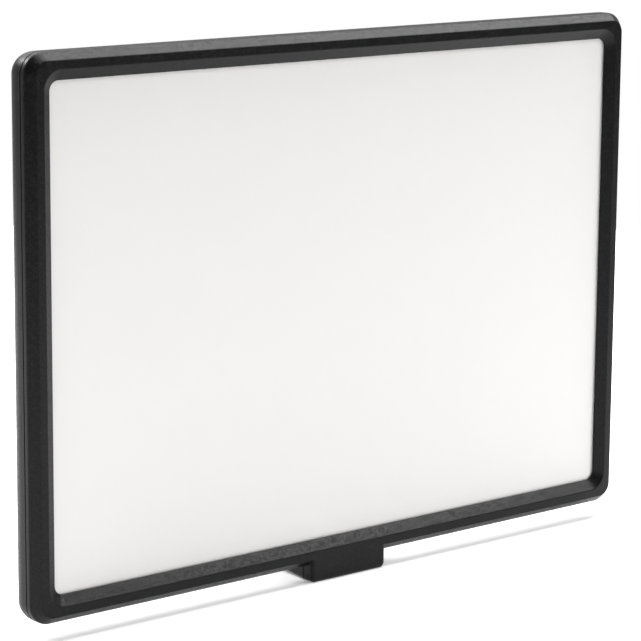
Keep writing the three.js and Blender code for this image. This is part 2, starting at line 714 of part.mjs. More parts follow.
function dcInlet() {
  const { mouth, back, hole, pin, half } = INLET;
  const body = block([back, mouth], [9.2, 16.2], [INLET_Z - half, INLET_Z + half]);
  const socket = carve([body], [rodX(INLET_Y, INLET_Z, hole, back + 2.2, mouth + 1)]);
  const contact = rodX(INLET_Y, INLET_Z, pin, back + 1.7, mouth - 1, 12);
  return mesh('dc_inlet', carve([socket, contact]), controlPlastic);
}

// ---------------------------------------------------------------------------------------------
// Battery plate
// ---------------------------------------------------------------------------------------------
function batteryLugs() {
  const seat = PLATE.back - 0.3;
  return [-1, 1].flatMap((side) => [56, 82].flatMap((z) => {
    const x = side * LUG.x;
    const near = x - side * LUG.width / 2;
    const far = x + side * (LUG.width / 2 + LUG.lip);
    const stem = block([x - LUG.width / 2, x + LUG.width / 2], [seat, LUG.top], [z, z + LUG.length]);
    const span = [Math.min(near, far), Math.max(near, far)];
    return [stem, block(span, [LUG.top - LUG.lipThickness, LUG.top], [z, z + LUG.length])];
  }));
}

function batteryPlate() {
  const { width, height, front, back, corner, z } = PLATE;
  const base = roundedPad({ width, height, corner, z, front, back, edge: 0.5, steps: 2 });
  const cuts = [
    ...cornerPlaces(PLATE_SCREW).map(([x, place]) => rodY(x, place, PILOT, 18, 23, 12)),
    ...cornerPlaces(PLATE_SCREW).map(([x, place]) => rodY(x, place, HEAD_ROOM, back - 1.1, 23, 12)),
    block([-4.8, 4.8], [18, 23], [CATCH.z - 2.8, CATCH.z + 2.8]),
    block([-5.8, 5.8], [18, 20.6], [CATCH.z - 3.8, CATCH.z + 3.8]),
    block([-5, 5], [18, 23], [40, 44]),
  ];
  return mesh('battery_plate', carve([base, ...batteryLugs()], cuts), casePlastic);
}

const BLADE_X = [-8, 0, 8];

function contactBlock() {
  const { width, bottom, top, back } = CONTACT;
  const seat = PLATE.back + GAP;
  const body = block([-width / 2, width / 2], [seat, back], [bottom, top]);
  const slots = BLADE_X.map((x) => block([x - 0.7, x + 0.7], [22.4, 25.2], [42, top + 1]));
  const wires = [-3, 3].map((x) => rodY(x, 42, 1.0, 20, 24, 12));
  return mesh('contact_block', carve([body], [...slots, ...wires]), controlPlastic);
}

function contactBlades() {
  return BLADE_X.map((x, k) => mesh(
    `contact_blade_${k + 1}`, block([x - 0.4, x + 0.4], [22.7, 24.9], [42.3, 49.2]), brass,
  ));
}

// Two insulated wires from the contacts, through the cover, to the board.
function batteryLead(name, x, material) {
  const route = new THREE.CatmullRomCurve3([
    new THREE.Vector3(x, 23.7, 42),
    new THREE.Vector3(x, 20.5, 42),
    new THREE.Vector3(x, 16.5, 43),
    new THREE.Vector3(x * 1.3, 13.8, 47),
    new THREE.Vector3(x * 1.4, 12.9, 50),
  ]);
  const section = new THREE.Shape().absarc(0, 0, 0.6, 0, 2 * Math.PI);
  const options = { steps: 14, extrudePath: route, curveSegments: 3 };
  return mesh(name, new THREE.ExtrudeGeometry(section, options), material);
}

function batteryCatch() {
  const { z, width, height, front, back, flange } = CATCH;
  const button = prismX([
    [front, z - height / 2],
    [back, z - height / 2],
    [back - 0.2, z],
    [back - 1.9, z + height / 2],
    [front, z + height / 2],
  ], -width / 2, width / 2);
  const base = block([-5.5, 5.5], [front, front + flange], [z - 3.5, z + 3.5]);
  return mesh('battery_catch', carve([base, button]), controlPlastic);
}

class CoilCurve extends THREE.Curve {
  constructor(radius, turns, y0, y1, z) {
    super();
    Object.assign(this, { radius, turns, y0, y1, z });
  }

  getPoint(t, target = new THREE.Vector3()) {
    const angle = t * this.turns * 2 * Math.PI;
    const y = THREE.MathUtils.lerp(this.y0, this.y1, t);
    return target.set(this.radius * Math.cos(angle), y, this.z + this.radius * Math.sin(angle));
  }
}

function catchSpring() {
  const wire = 0.25;
  const coil = new CoilCurve(2.2, 4.5, CATCH.cupFloor + GAP + wire, CATCH.front - GAP - wire, CATCH.z);
  const section = new THREE.Shape().absarc(0, 0, wire, 0, 2 * Math.PI);
  const options = { steps: 45, extrudePath: coil, curveSegments: 3 };
  return mesh('catch_spring', new THREE.ExtrudeGeometry(section, options), springSteel);
}

// ---------------------------------------------------------------------------------------------
// Screws
// ---------------------------------------------------------------------------------------------
// A cross-head screw along Y between its head's outer face and its tip, whichever way it points.
function screw(name, x, z, { head, seat, tip, headRadius, shankRadius }, material) {
  const way = Math.sign(head - tip);
  const profile = [
    [0, tip],
    [shankRadius * 0.6, tip],
    [shankRadius, tip + way * 0.6],
    [shankRadius, seat],
    [headRadius, seat],
    [headRadius, head - way * 0.3],
    [headRadius - 0.4, head],
    [0, head],
  ];
  const body = turnedY(x, z, way > 0 ? profile : profile.reverse(), 8);
  const reach = headRadius * 0.62;
  const groove = [head - 0.45, head + 0.45];
  const cross = [
    block([x - reach, x + reach], groove, [z - 0.22, z + 0.22]),
    block([x - 0.22, x + 0.22], groove, [z - reach, z + reach]),
  ];
  return mesh(name, carve([body], cross), material);
}

function screws() {
  const numbered = (name, places, shape, material) => places.map(
    ([x, z], k) => screw(`${name}_${k + 1}`, x, z, shape, material),
  );
  return [
    ...numbered('cover_screw', screwPlaces().map(({ x, z }) => [x, z]), COVER_SCREW_SHAPE, blackScrew),
    ...numbered('plate_screw', cornerPlaces(PLATE_SCREW), PLATE_SCREW_SHAPE, blackScrew),
    ...numbered('board_screw', cornerPlaces(BOARD_SCREW), BOARD_SCREW_SHAPE, switchSteel),
  ];
}

// ---------------------------------------------------------------------------------------------
// Assembly
// ---------------------------------------------------------------------------------------------
const panelLight = new THREE.Group();
panelLight.add(
  frontBezel(),
  rearCover(),
  tripodSocket(),
  ...opticalStack(),
  ledStrip('led_strip_left', -1),
  ledStrip('led_strip_right', 1),
  ledLead('led_lead_left', -1),
  ledLead('led_lead_right', 1),
  controlBoard(),
  ...display(),
  ...dial('brightness', -CONTROL_X),
  ...dial('colour', CONTROL_X),
  ...powerSwitch(),
  dcInlet(),
  batteryPlate(),
  contactBlock(),
  ...contactBlades(),
  batteryLead('battery_lead_positive', 3, wireRed),
  batteryLead('battery_lead_negative', -3, wireBlack),
  batteryCatch(),
  catchSpring(),
  ...screws(),
);
// The part's own frame has its origin at the middle of the box's base.
panelLight.position.y = -OVERALL_DEPTH / 2;

export default panelLight;
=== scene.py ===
"""LED panel light: the moulded case, opal face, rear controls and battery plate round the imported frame."""

import math

import bmesh
import bpy
from mathutils import Matrix, Vector


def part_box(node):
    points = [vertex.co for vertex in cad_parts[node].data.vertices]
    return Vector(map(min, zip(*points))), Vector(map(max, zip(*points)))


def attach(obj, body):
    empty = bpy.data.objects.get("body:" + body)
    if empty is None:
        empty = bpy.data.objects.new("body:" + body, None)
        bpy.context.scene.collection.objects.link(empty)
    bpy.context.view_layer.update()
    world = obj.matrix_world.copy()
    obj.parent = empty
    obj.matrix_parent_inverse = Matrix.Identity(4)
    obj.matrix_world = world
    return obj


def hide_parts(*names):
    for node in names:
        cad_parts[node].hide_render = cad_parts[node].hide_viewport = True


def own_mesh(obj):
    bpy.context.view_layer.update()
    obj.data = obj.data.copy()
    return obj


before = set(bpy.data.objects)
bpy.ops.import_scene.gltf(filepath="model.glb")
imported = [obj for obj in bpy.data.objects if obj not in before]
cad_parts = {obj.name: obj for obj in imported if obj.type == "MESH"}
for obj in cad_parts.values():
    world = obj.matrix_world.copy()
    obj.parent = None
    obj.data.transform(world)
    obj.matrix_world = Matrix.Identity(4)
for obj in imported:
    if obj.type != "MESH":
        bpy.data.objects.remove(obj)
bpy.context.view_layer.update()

bl_info = {
    "name": "LED Panel Light",
    "version": (1, 0, 0),
    "blender": (4, 5, 0),
    "location": "View3D > Sidebar > Panel Light",
    "description": "Builds the visible pieces and finishes of a slim LED panel light round its frame",
    "category": "Add Mesh",
}

# Lengths inside the pieces are in millimetres: across from the middle, deep from the front face,
# and up from the foot's base.
MM = 0.001
CASE = "case"
BEZEL_LOW, BEZEL_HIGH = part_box("front_bezel")
FRONT = BEZEL_LOW.y / MM
LIT_LOW, LIT_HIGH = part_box("diffuser")


def middle(node):
    """The middle of a frame node at rest, in millimetres."""
    low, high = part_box(node)
    return [round(length / MM, 3) for length in (low + high) / 2]


# Places of the rear fittings, from the nodes that they stand for.
DIAL_X, _, DIAL_Z = middle("colour_knob")
DISPLAY_Z = middle("display_window")[2]
INLET_Z = middle("dc_inlet")[2]
CATCH_Z = middle("battery_catch")[2]
PLATE_Z = middle("battery_plate")[2]
SLIDER_REST = middle("power_slider")[2]

# Depths behind the front face.
COVER_BACK = 10.2
HUMP_BACK = 19.0
HUMP_FLOOR = 16.0        # where the cutters for the hump's openings start, inside its wall
PLATE_FRONT, PLATE_BACK = 19.3, 21.7
SOCKET_DEPTH = 12.6
INLET_DEPTH = 12.9

# The hump, as width, height and corner radius, and how much its sides lean in with depth.
HUMP = (116, 96, 9)
HUMP_DRAFT = 0.08
HUMP_FILLET = 1.0
STEM_DRAFT = 0.07
SHELL_WALL = 1.5
HUMP_WALL = 1.6

# Fastenings and the battery wires' hole, as places or limits across and up.
SCREW_INSET = 4.1        # from the case's edges to the cover screws
PLATE_SCREW = (-17.3, 102.4)
PLATE_SCREW_STEPS = [(34.6, 0), (0, -60.8), (34.6, -60.8)]
WIRE_HOLE = ((-5, 5), (40, 44))

POINTER_ANGLE = 140.0    # degrees from straight up to the first mark of a dial
DIAL_STEP = 28           # degrees from one mark to the next
FLOOR_RADIUS = 0.55      # metres


def size(label, text, default):
    """A length that a user can change, shown in scene units."""
    return bpy.props.FloatProperty(
        name=label, description=text, default=default, unit="LENGTH", precision=5)


def colour(label, text, default):
    """A linear colour that a user can change."""
    return bpy.props.FloatVectorProperty(
        name=label, description=text, default=default, size=3, subtype="COLOR", min=0.0, max=1.0)


class CaseSettings(bpy.types.PropertyGroup):
    """Sizes and colour of the two moulded shells."""

    width: size("Panel width", "Width of the moulded case", BEZEL_HIGH.x - BEZEL_LOW.x)
    height: size("Panel height", "Height of the case without its foot", 132 * MM)
    foot: size("Foot height", "How far the foot stands out under the case", 4.1 * MM)
    outer_corner: size("Outer corner", "Corner radius of the case seen from the front", 5.2 * MM)
    seam: size("Seam depth", "Depth of the joint between the two shells", 3.6 * MM)
    groove: size("Seam groove", "Width of the groove between the two shells", 0.3 * MM)
    foot_width: size("Foot width", "Width of the foot block", 24 * MM)
    shade: colour("Case colour", "Colour of the textured case plastic", (0.0058, 0.0059, 0.0064))


class FaceSettings(bpy.types.PropertyGroup):
    """Colour of the opal face."""

    shade: colour("Opal colour", "Colour of the diffuser", (0.73, 0.722, 0.709))


class ControlSettings(bpy.types.PropertyGroup):
    """Sizes and colours of the rear controls."""

    shade: colour("Control colour", "Colour of the knobs and slider", (0.0085, 0.0085, 0.009))
    mark: colour("Mark colour", "Colour of the printed marks and pointer lines", (0.72, 0.72, 0.7))
    flutes: bpy.props.IntProperty(
        name="Knob flutes", description="Number of grip flutes", default=24, min=8)


def settings():
    scene = bpy.context.scene
    return scene.panel_light_case, scene.panel_light_face, scene.panel_light_controls


# ------------------------------------------------------------------------------------------------
# Modelling helpers
# ------------------------------------------------------------------------------------------------
def at(across, deep, up):
    """A point of the frame, from millimetres across, behind the front face and above the base."""
    return Vector((across, FRONT + deep, up))


def clear_selection():
    if bpy.context.object and bpy.context.object.mode != "OBJECT":
        bpy.ops.object.mode_set(mode="OBJECT")
    bpy.ops.object.select_all(action="DESELECT")


def activate(piece):
    clear_selection()
    piece.select_set(True)
    bpy.context.view_layer.objects.active = piece


def edit(piece):
    activate(piece)
    bpy.ops.object.mode_set(mode="EDIT")


def settle(name):
    """Puts the place, turn and scale of the new object in its mesh, and names it."""
    bpy.ops.object.transform_apply(location=True, rotation=True, scale=True)
    bpy.context.object.name = name
    return bpy.context.object


def block(name, across, deep, up):
    """A box from pairs of limits."""
    clear_selection()
    low, high = (at(*corner) for corner in zip(across, deep, up))
    bpy.ops.mesh.primitive_cube_add(size=1, location=(low + high) / 2)
    bpy.context.object.scale = high - low
    return settle(name)


def rod(name, place, radius, length, axis="Y", sides=40):
    """A round bar of some length round a middle point, along an axis."""
    clear_selection()
    turn = {"X": (0, math.pi / 2, 0), "Y": (math.pi / 2, 0, 0), "Z": (0, 0, 0)}[axis]
    bpy.ops.mesh.primitive_cylinder_add(
        vertices=sides, radius=radius, depth=length, location=at(*place), rotation=turn)
    return settle(name)


def pick(piece, test, kind="VERT"):
    """Selects, in edit mode, the vertices, edges or faces that pass a test."""
    bpy.ops.mesh.select_mode(type=kind)
    bpy.ops.mesh.select_all(action="DESELECT")
    mesh = bmesh.from_edit_mesh(piece.data)
    for item in {"VERT": mesh.verts, "EDGE": mesh.edges, "FACE": mesh.faces}[kind]:
        if test(item):
            item.select_set(True)
    mesh.select_flush_mode()
    bmesh.update_edit_mesh(piece.data)


def pick_rings(piece, rings, count):
    """Selects the outlines with these numbers; each outline's vertices follow one another."""
    def inside(edge):
        first, second = (vertex.index // count for vertex in edge.verts)
        return first == second and first in rings
    bmesh.from_edit_mesh(piece.data).verts.index_update()
    pick(piece, inside, "EDGE")


def loft(name, outlines, steps, closed=False):
    """Skins a row of rounded outlines, each (width, height, corner, across, deep, up).

    The outlines are drawn and bridged well apart, because bridging twists between outlines in one plane,
    and then each slides to its own depth.
    """
    clear_selection()
    bpy.ops.object.add(type="MESH")
    piece = bpy.context.object
    piece.name = name
    edit(piece)
    count = 4 * (steps + 1)
    rings = len(outlines)
    apart = 4.0          # far enough for a bridge to stay straight
    for ring, (width, height, corner, across, _, up) in enumerate(outlines):
        place = at(across, ring * apart, up)
        bpy.ops.mesh.select_mode(type="VERT")
        bpy.ops.mesh.select_all(action="DESELECT")
        bpy.ops.mesh.primitive_plane_add(size=1, location=place, rotation=(math.pi / 2, 0, 0))
        bpy.ops.transform.resize(value=(width, 1, height), center_override=place)
        bpy.ops.mesh.bevel(offset=corner, segments=steps, affect="VERTICES", clamp_overlap=False)
        bpy.ops.mesh.delete(type="ONLY_FACE")
    if len(bmesh.from_edit_mesh(piece.data).verts) != rings * count:
        raise RuntimeError(f"{name}: an outline came out with the wrong number of points")
    for ring in range(rings if closed else rings - 1):
        pick_rings(piece, (ring, (ring + 1) % rings), count)
        bpy.ops.mesh.bridge_edge_loops()
    for ring, outline in enumerate(outlines):
        pick_rings(piece, (ring,), count)
        if not closed and ring in (0, rings - 1):
            bpy.ops.mesh.edge_face_add()
        bpy.ops.transform.translate(value=(0, (outline[4] - ring * apart), 0))
    bpy.ops.mesh.select_all(action="SELECT")
    bpy.ops.mesh.normals_make_consistent(inside=False)
    clear_selection()
    return piece


def turned(name, profile, axis, place, steps=48):
    """Spins a profile of (radius, height) points about an axis through a point, heights along the axis."""
    clear_selection()
    centre = at(*place)
    along = Vector([float(letter == axis) for letter in "XYZ"])
    across = Vector((0, 0, 1)) if axis != "Z" else Vector((1, 0, 0))
    radius, height = profile[0]
    bpy.ops.object.add(type="MESH")
    piece = bpy.context.object
    piece.name = name
    edit(piece)
    bpy.ops.mesh.select_mode(type="VERT")
    bpy.ops.mesh.primitive_plane_add(size=1, location=centre + across * radius + along * height)
    bpy.ops.mesh.merge(type="CENTER")
    for (radius, height), (next_radius, next_height) in zip(profile, profile[1:]):
        step = across * (next_radius - radius) + along * (next_height - height)
        bpy.ops.mesh.extrude_region_move(TRANSFORM_OT_translate={"value": step})
    bpy.ops.mesh.select_all(action="SELECT")
    bpy.ops.mesh.spin(steps=steps, angle=2 * math.pi, center=centre, axis=along)
    bpy.ops.mesh.select_all(action="SELECT")
    bpy.ops.mesh.remove_doubles(threshold=1e-3)
    bpy.ops.mesh.normals_make_consistent(inside=False)
    clear_selection()
    return piece


def boolean(piece, other, operation):
    """Joins or cuts with another closed piece, which is used up."""
    activate(piece)
    bpy.ops.object.modifier_add(type="BOOLEAN")
    modifier = piece.modifiers[-1]
    modifier.operation = operation
    modifier.solver = "EXACT"
    modifier.object = other
    bpy.ops.object.modifier_apply(modifier=modifier.name)
    bpy.data.objects.remove(other)
    edit(piece)
    bpy.ops.mesh.select_all(action="SELECT")
    bpy.ops.mesh.remove_doubles(threshold=0.004)
    bpy.ops.mesh.dissolve_degenerate(threshold=0.004)
    clear_selection()
    return piece


def cut(piece, *others):
    for other in others:
        boolean(piece, other, "DIFFERENCE")
    return piece


def unite(piece, *others):
    for other in others:
        boolean(piece, other, "UNION")
    return piece


def join(*pieces):
    """Puts separate solids that don't touch into one object."""
    clear_selection()
    for piece in pieces:
        piece.select_set(True)
    bpy.context.view_layer.objects.active = pieces[0]
    bpy.ops.object.join()
    return pieces[0]


def copied(piece, across, up):
    """A copy with its own mesh, moved by so much."""
    activate(piece)
    bpy.ops.object.duplicate(linked=False)
    bpy.ops.transform.translate(value=(across, 0, up))
    return settle(piece.name)


def row(piece, steps):
    """The piece and its copies, each moved by one of the steps (across, up), as one object."""
    return join(piece, *[copied(piece, across, up) for across, up in steps])


def soften(piece, width, segments=2):
    """Rolls every sharp edge over with a small round."""
    activate(piece)
    bpy.ops.object.modifier_add(type="BEVEL")
    modifier = piece.modifiers[-1]
    modifier.width = width
    modifier.segments = segments
    modifier.limit_method = "ANGLE"
    modifier.angle_limit = math.radians(35)
    bpy.ops.object.modifier_apply(modifier=modifier.name)


def sealed(piece):
    """Closes a piece's open ends and turns its faces outwards."""
    edit(piece)
    pick(piece, lambda edge: len(edge.link_faces) == 1, "EDGE")
    bpy.ops.mesh.edge_face_add()
    bpy.ops.mesh.select_all(action="SELECT")
    bpy.ops.mesh.normals_make_consistent(inside=False)
    clear_selection()
    return piece


def wound(section, place, axis, turns, rise, steps):
    """Winds a section, drawn beside the origin, about an axis through a place."""
    activate(section)
    section.location = place
    bpy.ops.object.modifier_add(type="SCREW")
    winding = section.modifiers[-1]
    winding.axis = axis
    winding.angle = turns * 2 * math.pi
    winding.screw_offset = rise
    winding.steps = winding.render_steps = steps
    bpy.ops.object.modifier_apply(modifier=winding.name)
    return sealed(settle(section.name))


def complete(piece, name, material, body, slot, *nodes, smooth=32):
    """Brings a piece to scale, names and shades it, and hides the nodes that it stands for."""
    activate(piece)
    piece.scale = (MM, MM, MM)
    bpy.ops.object.transform_apply(location=True, rotation=True, scale=True)
    bpy.ops.object.shade_smooth_by_angle(angle=math.radians(smooth))
    bpy.ops.object.modifier_add(type="WEIGHTED_NORMAL")
    piece.modifiers[-1].keep_sharp = True
    bpy.ops.object.modifier_apply(modifier=piece.modifiers[-1].name)
    piece.name = piece.data.name = name
    piece.data.materials.clear()
    piece.data.materials.append(material)
    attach(piece, body)
    if nodes:
        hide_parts(*nodes)
    return piece


# ------------------------------------------------------------------------------------------------
# Finishes
# ------------------------------------------------------------------------------------------------
def add_node(material, kind, inputs=None, **options):
    node = material.node_tree.nodes.new(kind)
    for key, value in options.items():
        setattr(node, key, value)
    for key, value in (inputs or {}).items():
        node.inputs[key].default_value = value
    return node


def link(material, source, target):
    material.node_tree.links.new(source, target)


def surface(material):
    return material.node_tree.nodes["Principled BSDF"]


def plain(name, shade, roughness, metallic=0.0, **sockets):
    """A material with its steady values on the shader's own sockets, and whether it was made just now."""
    material = bpy.data.materials.get(name)
    if material:
        return material, False
    material = bpy.data.materials.new(name)
    material.use_nodes = True
    shader = surface(material)
    shader.inputs["Base Color"].default_value = (*shade, 1)
    shader.inputs["Roughness"].default_value = roughness
    shader.inputs["Metallic"].default_value = metallic
    for key, value in sockets.items():
        shader.inputs[key.replace("_", " ")].default_value = value
    return material, True


def object_noise(material, scale, detail=2.0, stretch=(1, 1, 1)):
    """Noise on the piece's own coordinates; scale is in grains per metre."""
    place = add_node(material, "ShaderNodeTexCoord")
    mapping = add_node(material, "ShaderNodeMapping")
    mapping.inputs["Scale"].default_value = stretch
    noise = add_node(material, "ShaderNodeTexNoise", {"Scale": scale, "Detail": detail, "Roughness": 0.55})
    link(material, place.outputs["Object"], mapping.inputs["Vector"])
    link(material, mapping.outputs["Vector"], noise.inputs["Vector"])
    return noise.outputs["Fac"]


def object_cells(material, scale):
    """Grains with a random height each, on the piece's own coordinates; scale is in grains per metre."""
    place = add_node(material, "ShaderNodeTexCoord")
    cells = add_node(material, "ShaderNodeTexVoronoi", {"Scale": scale}, feature="SMOOTH_F1")
    link(material, place.outputs["Object"], cells.inputs["Vector"])
    return cells.outputs["Color"]


def spread(material, source, low, high, start=0.3, stop=0.7):
    """Maps a noise value from start..stop to low..high."""
    node = add_node(material, "ShaderNodeMapRange",
                    {"From Min": start, "From Max": stop, "To Min": low, "To Max": high})
    link(material, source, node.inputs["Value"])
    return node.outputs["Result"]


def vary_roughness(material, low, high, scale):
    link(material, spread(material, object_noise(material, scale), low, high),
         surface(material).inputs["Roughness"])


def vary_colour(material, first, second, source):
    mix = add_node(material, "ShaderNodeMix", data_type="RGBA")
    mix.inputs["A"].default_value = (*first, 1)
    mix.inputs["B"].default_value = (*second, 1)
    link(material, source, mix.inputs["Factor"])
    link(material, mix.outputs["Result"], surface(material).inputs["Base Color"])


def emboss(material, source, strength, height):
    bump = add_node(material, "ShaderNodeBump", {"Strength": strength, "Distance": height})
    link(material, source, bump.inputs["Height"])
    link(material, bump.outputs["Normal"], surface(material).inputs["Normal"])


def shaded(base, factor):
    return tuple(min(1.0, channel * factor) for channel in base)


def case_plastic():
    """Black ABS with a fine spark-eroded texture, mottled grain by grain; the raised grains are painted
    paler, a painted highlight standing in for the glints on their tops.
    """
    case, _, _ = settings()
    material, fresh = plain("case_plastic_textured", case.shade, 0.4, Specular_IOR_Level=0.15)
    if fresh:
        grain = object_cells(material, 2900)
        emboss(material, grain, 0.2, 0.06 * MM)
        # Painted highlight: each grain's colour follows its height, so the raised grains are drawn paler, as
        # if they catch the light.
        vary_colour(material, shaded(case.shade, 0.72), shaded(case.shade, 1.75),
                    spread(material, grain, 0.0, 1.0, 0.35, 0.72))
        link(material, spread(material, grain, 0.295, 0.475), surface(material).inputs["Roughness"])
    return material


def control_plastic():
    """Smooth satin black with faint handling marks."""
    _, _, controls = settings()
    material, fresh = plain("control_plastic_satin", controls.shade, 0.36, Specular_IOR_Level=0.5)
    if fresh:
        vary_roughness(material, 0.28, 0.46, 260)
        emboss(material, object_noise(material, 5200, 2.0), 0.18, 0.04 * MM)
        vary_colour(material, shaded(controls.shade, 0.8), shaded(controls.shade, 1.35),
                    object_noise(material, 160))
    return material


def opal_acrylic():
    """Opal sheet: milky, satin on its face, with painted shade that makes it a little darker near its edges,
    standing in for the shadow under the bezel's lip.
    """
    _, face, _ = settings()
    material, fresh = plain("opal_acrylic_satin", face.shade, 0.42, Specular_IOR_Level=0.4)
    if fresh:
        centre = (LIT_LOW + LIT_HIGH) / 2
        half = (LIT_HIGH - LIT_LOW) / 2
        place = add_node(material, "ShaderNodeTexCoord")
        split = add_node(material, "ShaderNodeSeparateXYZ")
        link(material, place.outputs["Object"], split.inputs["Vector"])
        distances = []
        for letter, mid_line, reach in (("X", centre.x, half.x), ("Z", centre.z, half.z)):
            shift = add_node(material, "ShaderNodeMath", operation="SUBTRACT")
            shift.inputs[1].default_value = mid_line
            away = add_node(material, "ShaderNodeMath", operation="ABSOLUTE")
            left = add_node(material, "ShaderNodeMath", operation="SUBTRACT")
            left.inputs[0].default_value = reach
            link(material, split.outputs[letter], shift.inputs[0])
            link(material, shift.outputs[0], away.inputs[0])
            link(material, away.outputs[0], left.inputs[1])
            distances.append(left.outputs[0])
        nearest = add_node(material, "ShaderNodeMath", operation="SMOOTH_MIN")
        nearest.inputs[2].default_value = 2 * MM
        link(material, distances[0], nearest.inputs[0])
        link(material, distances[1], nearest.inputs[1])
        # Painted shade: within a few millimetres of the opal's edges its colour darkens to 96%, standing in
        # for the bezel lip's shadow.
        painted_lip_shade = add_node(material, "ShaderNodeMapRange", interpolation_type="SMOOTHERSTEP")
        painted_lip_shade.inputs["From Min"].default_value = 3.4 * MM
        painted_lip_shade.inputs["From Max"].default_value = 6.0 * MM
        link(material, nearest.outputs[0], painted_lip_shade.inputs["Value"])
        vary_colour(material, shaded(face.shade, 0.96), face.shade, painted_lip_shade.outputs["Result"])
        vary_roughness(material, 0.38, 0.47, 90)
        emboss(material, object_noise(material, 3800, 2.0), 0.06, 0.03 * MM)
    return material


def bright_metal(name, shade, roughness, lines):
    """Plated or turned metal with fine working lines, stretched by lines along X, Y and Z."""
    material, fresh = plain(name, shade, roughness, 1.0)
    if fresh:
        streaks = object_noise(material, 900, 3.0, lines)
        link(material, spread(material, streaks, roughness * 0.75, roughness * 1.35),
             surface(material).inputs["Roughness"])
        emboss(material, streaks, 0.12, 0.02 * MM)
        vary_colour(material, shaded(shade, 0.86), shaded(shade, 1.06), object_noise(material, 300))
    return material


def gloss_film(name, shade, roughness, **sockets):
    """A smooth sheet, board mask or insulation with slight waviness."""
    material, fresh = plain(name, shade, roughness, **sockets)
    if fresh:
        vary_roughness(material, roughness * 0.8, roughness * 1.25, 240)
        vary_colour(material, shaded(shade, 0.92), shaded(shade, 1.05), object_noise(material, 180))
        emboss(material, object_noise(material, 1500), 0.05, 0.03 * MM)
    return material


def dark_glass():
    material, fresh = plain("display_glass_dark", (0.006, 0.007, 0.009), 0.08, Specular_IOR_Level=0.6,
                            Coat_Weight=0.5, Coat_Roughness=0.05)
    if fresh:
        vary_roughness(material, 0.05, 0.13, 130)
        vary_colour(material, (0.004, 0.005, 0.007), (0.009, 0.0105, 0.013), object_noise(material, 90))
    return material


def print_ink():
    _, _, controls = settings()
    return gloss_film("printed_mark_ink", controls.mark, 0.55)


def brass():
    return bright_metal("turned_brass", (0.62, 0.43, 0.17), 0.26, (1, 1, 6))


def steel():
    return bright_metal("plated_steel", (0.55, 0.56, 0.57), 0.3, (1, 5, 1))


def aluminium():
    return bright_metal("rolled_aluminium", (0.68, 0.69, 0.71), 0.34, (0.15, 1, 4))


def dull_aluminium():
    return bright_metal("back_plate_dull_aluminium", (0.2, 0.205, 0.21), 0.5, (0.15, 1, 4))


def black_zinc():
    return bright_metal("black_zinc_screw", (0.075, 0.075, 0.08), 0.34, (1, 4, 1))


def contact_brass():
    return bright_metal("plated_contact_brass", (0.7, 0.53, 0.27), 0.22, (1, 1, 0.2))


def segment_grey():
    return gloss_film("display_segment_grey", (0.03, 0.033, 0.036), 0.3)


def white_film():
    return gloss_film("reflector_film_white", (0.85, 0.85, 0.84), 0.35)


def clear_guide():
    return gloss_film("light_guide_acrylic", (0.82, 0.86, 0.87), 0.1, Transmission_Weight=0.6, IOR=1.49)


def flat_lead():
    return gloss_film("flat_lead_film", (0.62, 0.57, 0.46), 0.4)


def red_wire():
    return gloss_film("red_wire_sleeve", (0.32, 0.015, 0.012), 0.42)


def black_wire():
    return gloss_film("black_wire_sleeve", (0.012, 0.012, 0.012), 0.42)


def strip_board():
    return gloss_film("strip_board_white", (0.78, 0.76, 0.68), 0.38)


def driver_board():
    """Green solder mask over faint copper tracks."""
    material, fresh = plain("driver_board_mask", (0.012, 0.085, 0.035), 0.32, Coat_Weight=0.3)
    if fresh:
        tracks = object_noise(material, 700, 1.0, (1, 1, 0.08))
        vary_colour(material, (0.01, 0.07, 0.028), (0.03, 0.14, 0.055),
                    spread(material, tracks, 0, 1, 0.48, 0.52))
        vary_roughness(material, 0.25, 0.4, 400)
        emboss(material, tracks, 0.15, 0.03 * MM)
    return material


def floor_paint():
    material, fresh = plain("floor_matt_white", (0.9, 0.9, 0.9), 0.8, Specular_IOR_Level=0.2,
                            Emission_Color=(1, 1, 1, 1), Emission_Strength=0.22)
    if fresh:
        vary_roughness(material, 0.75, 0.85, 30)
    return material


# ------------------------------------------------------------------------------------------------
# Moulded case
# ------------------------------------------------------------------------------------------------
def quarter(steps):
    """Angles of a quarter turn, in even steps."""
    return [math.pi / 2 * step / steps for step in range(steps + 1)]


def filleted(corners, steps=5):
    """Rounds the corners of a closed section given as (inset, deep, fillet)."""
    points = []
    for k, (inset, deep, fillet) in enumerate(corners):
        corner = Vector((inset, deep))
        if not fillet:
            points.append(tuple(corner))
            continue
        ends = []
        for other in (corners[k - 1], corners[(k + 1) % len(corners)]):
            ends.append(corner + (Vector(other[:2]) - corner).normalized() * fillet)
        for step in range(steps + 1):
            t = step / steps
            points.append(tuple(ends[0] * (1 - t) ** 2 + corner * 2 * t * (1 - t) + ends[1] * t ** 2))
    return points


def bezel_corner(inset, outer):
    """The flat face is broadest at the corners, so the corner radius changes with the inset."""
    stations = [(0, outer), (1.9, 3.3), (3.98, 4.8), (6.54, 2.4), (9, 2.4)]
    for (start, first), (end, second) in zip(stations, stations[1:]):
        if inset <= end:
            return first + (second - first) * (inset - start) / (end - start)
    return stations[-1][1]


def screw_places():
    """The cover screws, in the order of their numbers."""
    case, _, _ = settings()
    bottom = case.foot / MM + SCREW_INSET
    top = (case.foot + case.height) / MM - SCREW_INSET
    return [(across, up) for up in (top, bottom) for across in (-82, -28, 28, 82)]


def at_screws(piece):
    """Copies a piece made at the first cover screw to the others, as one object."""
    places = screw_places()
    return row(piece, [(across - places[0][0], up - places[0][1]) for across, up in places[1:]])


def foot_outlines(width, top, back):
    """Outlines of the front half of the foot, rounded where it meets its front face."""
    corner, edge = 1.3, 0.9
    outlines = []
    for angle in quarter(6):
        inset = edge * (1 - math.sin(angle))
        outlines.append((width - 2 * inset, top - 2 * inset, corner - inset / 2, 0,
                         0.02 + edge * (1 - math.cos(angle)), top / 2))
    outlines.append((width, top, corner, 0, back, top / 2))
    return outlines


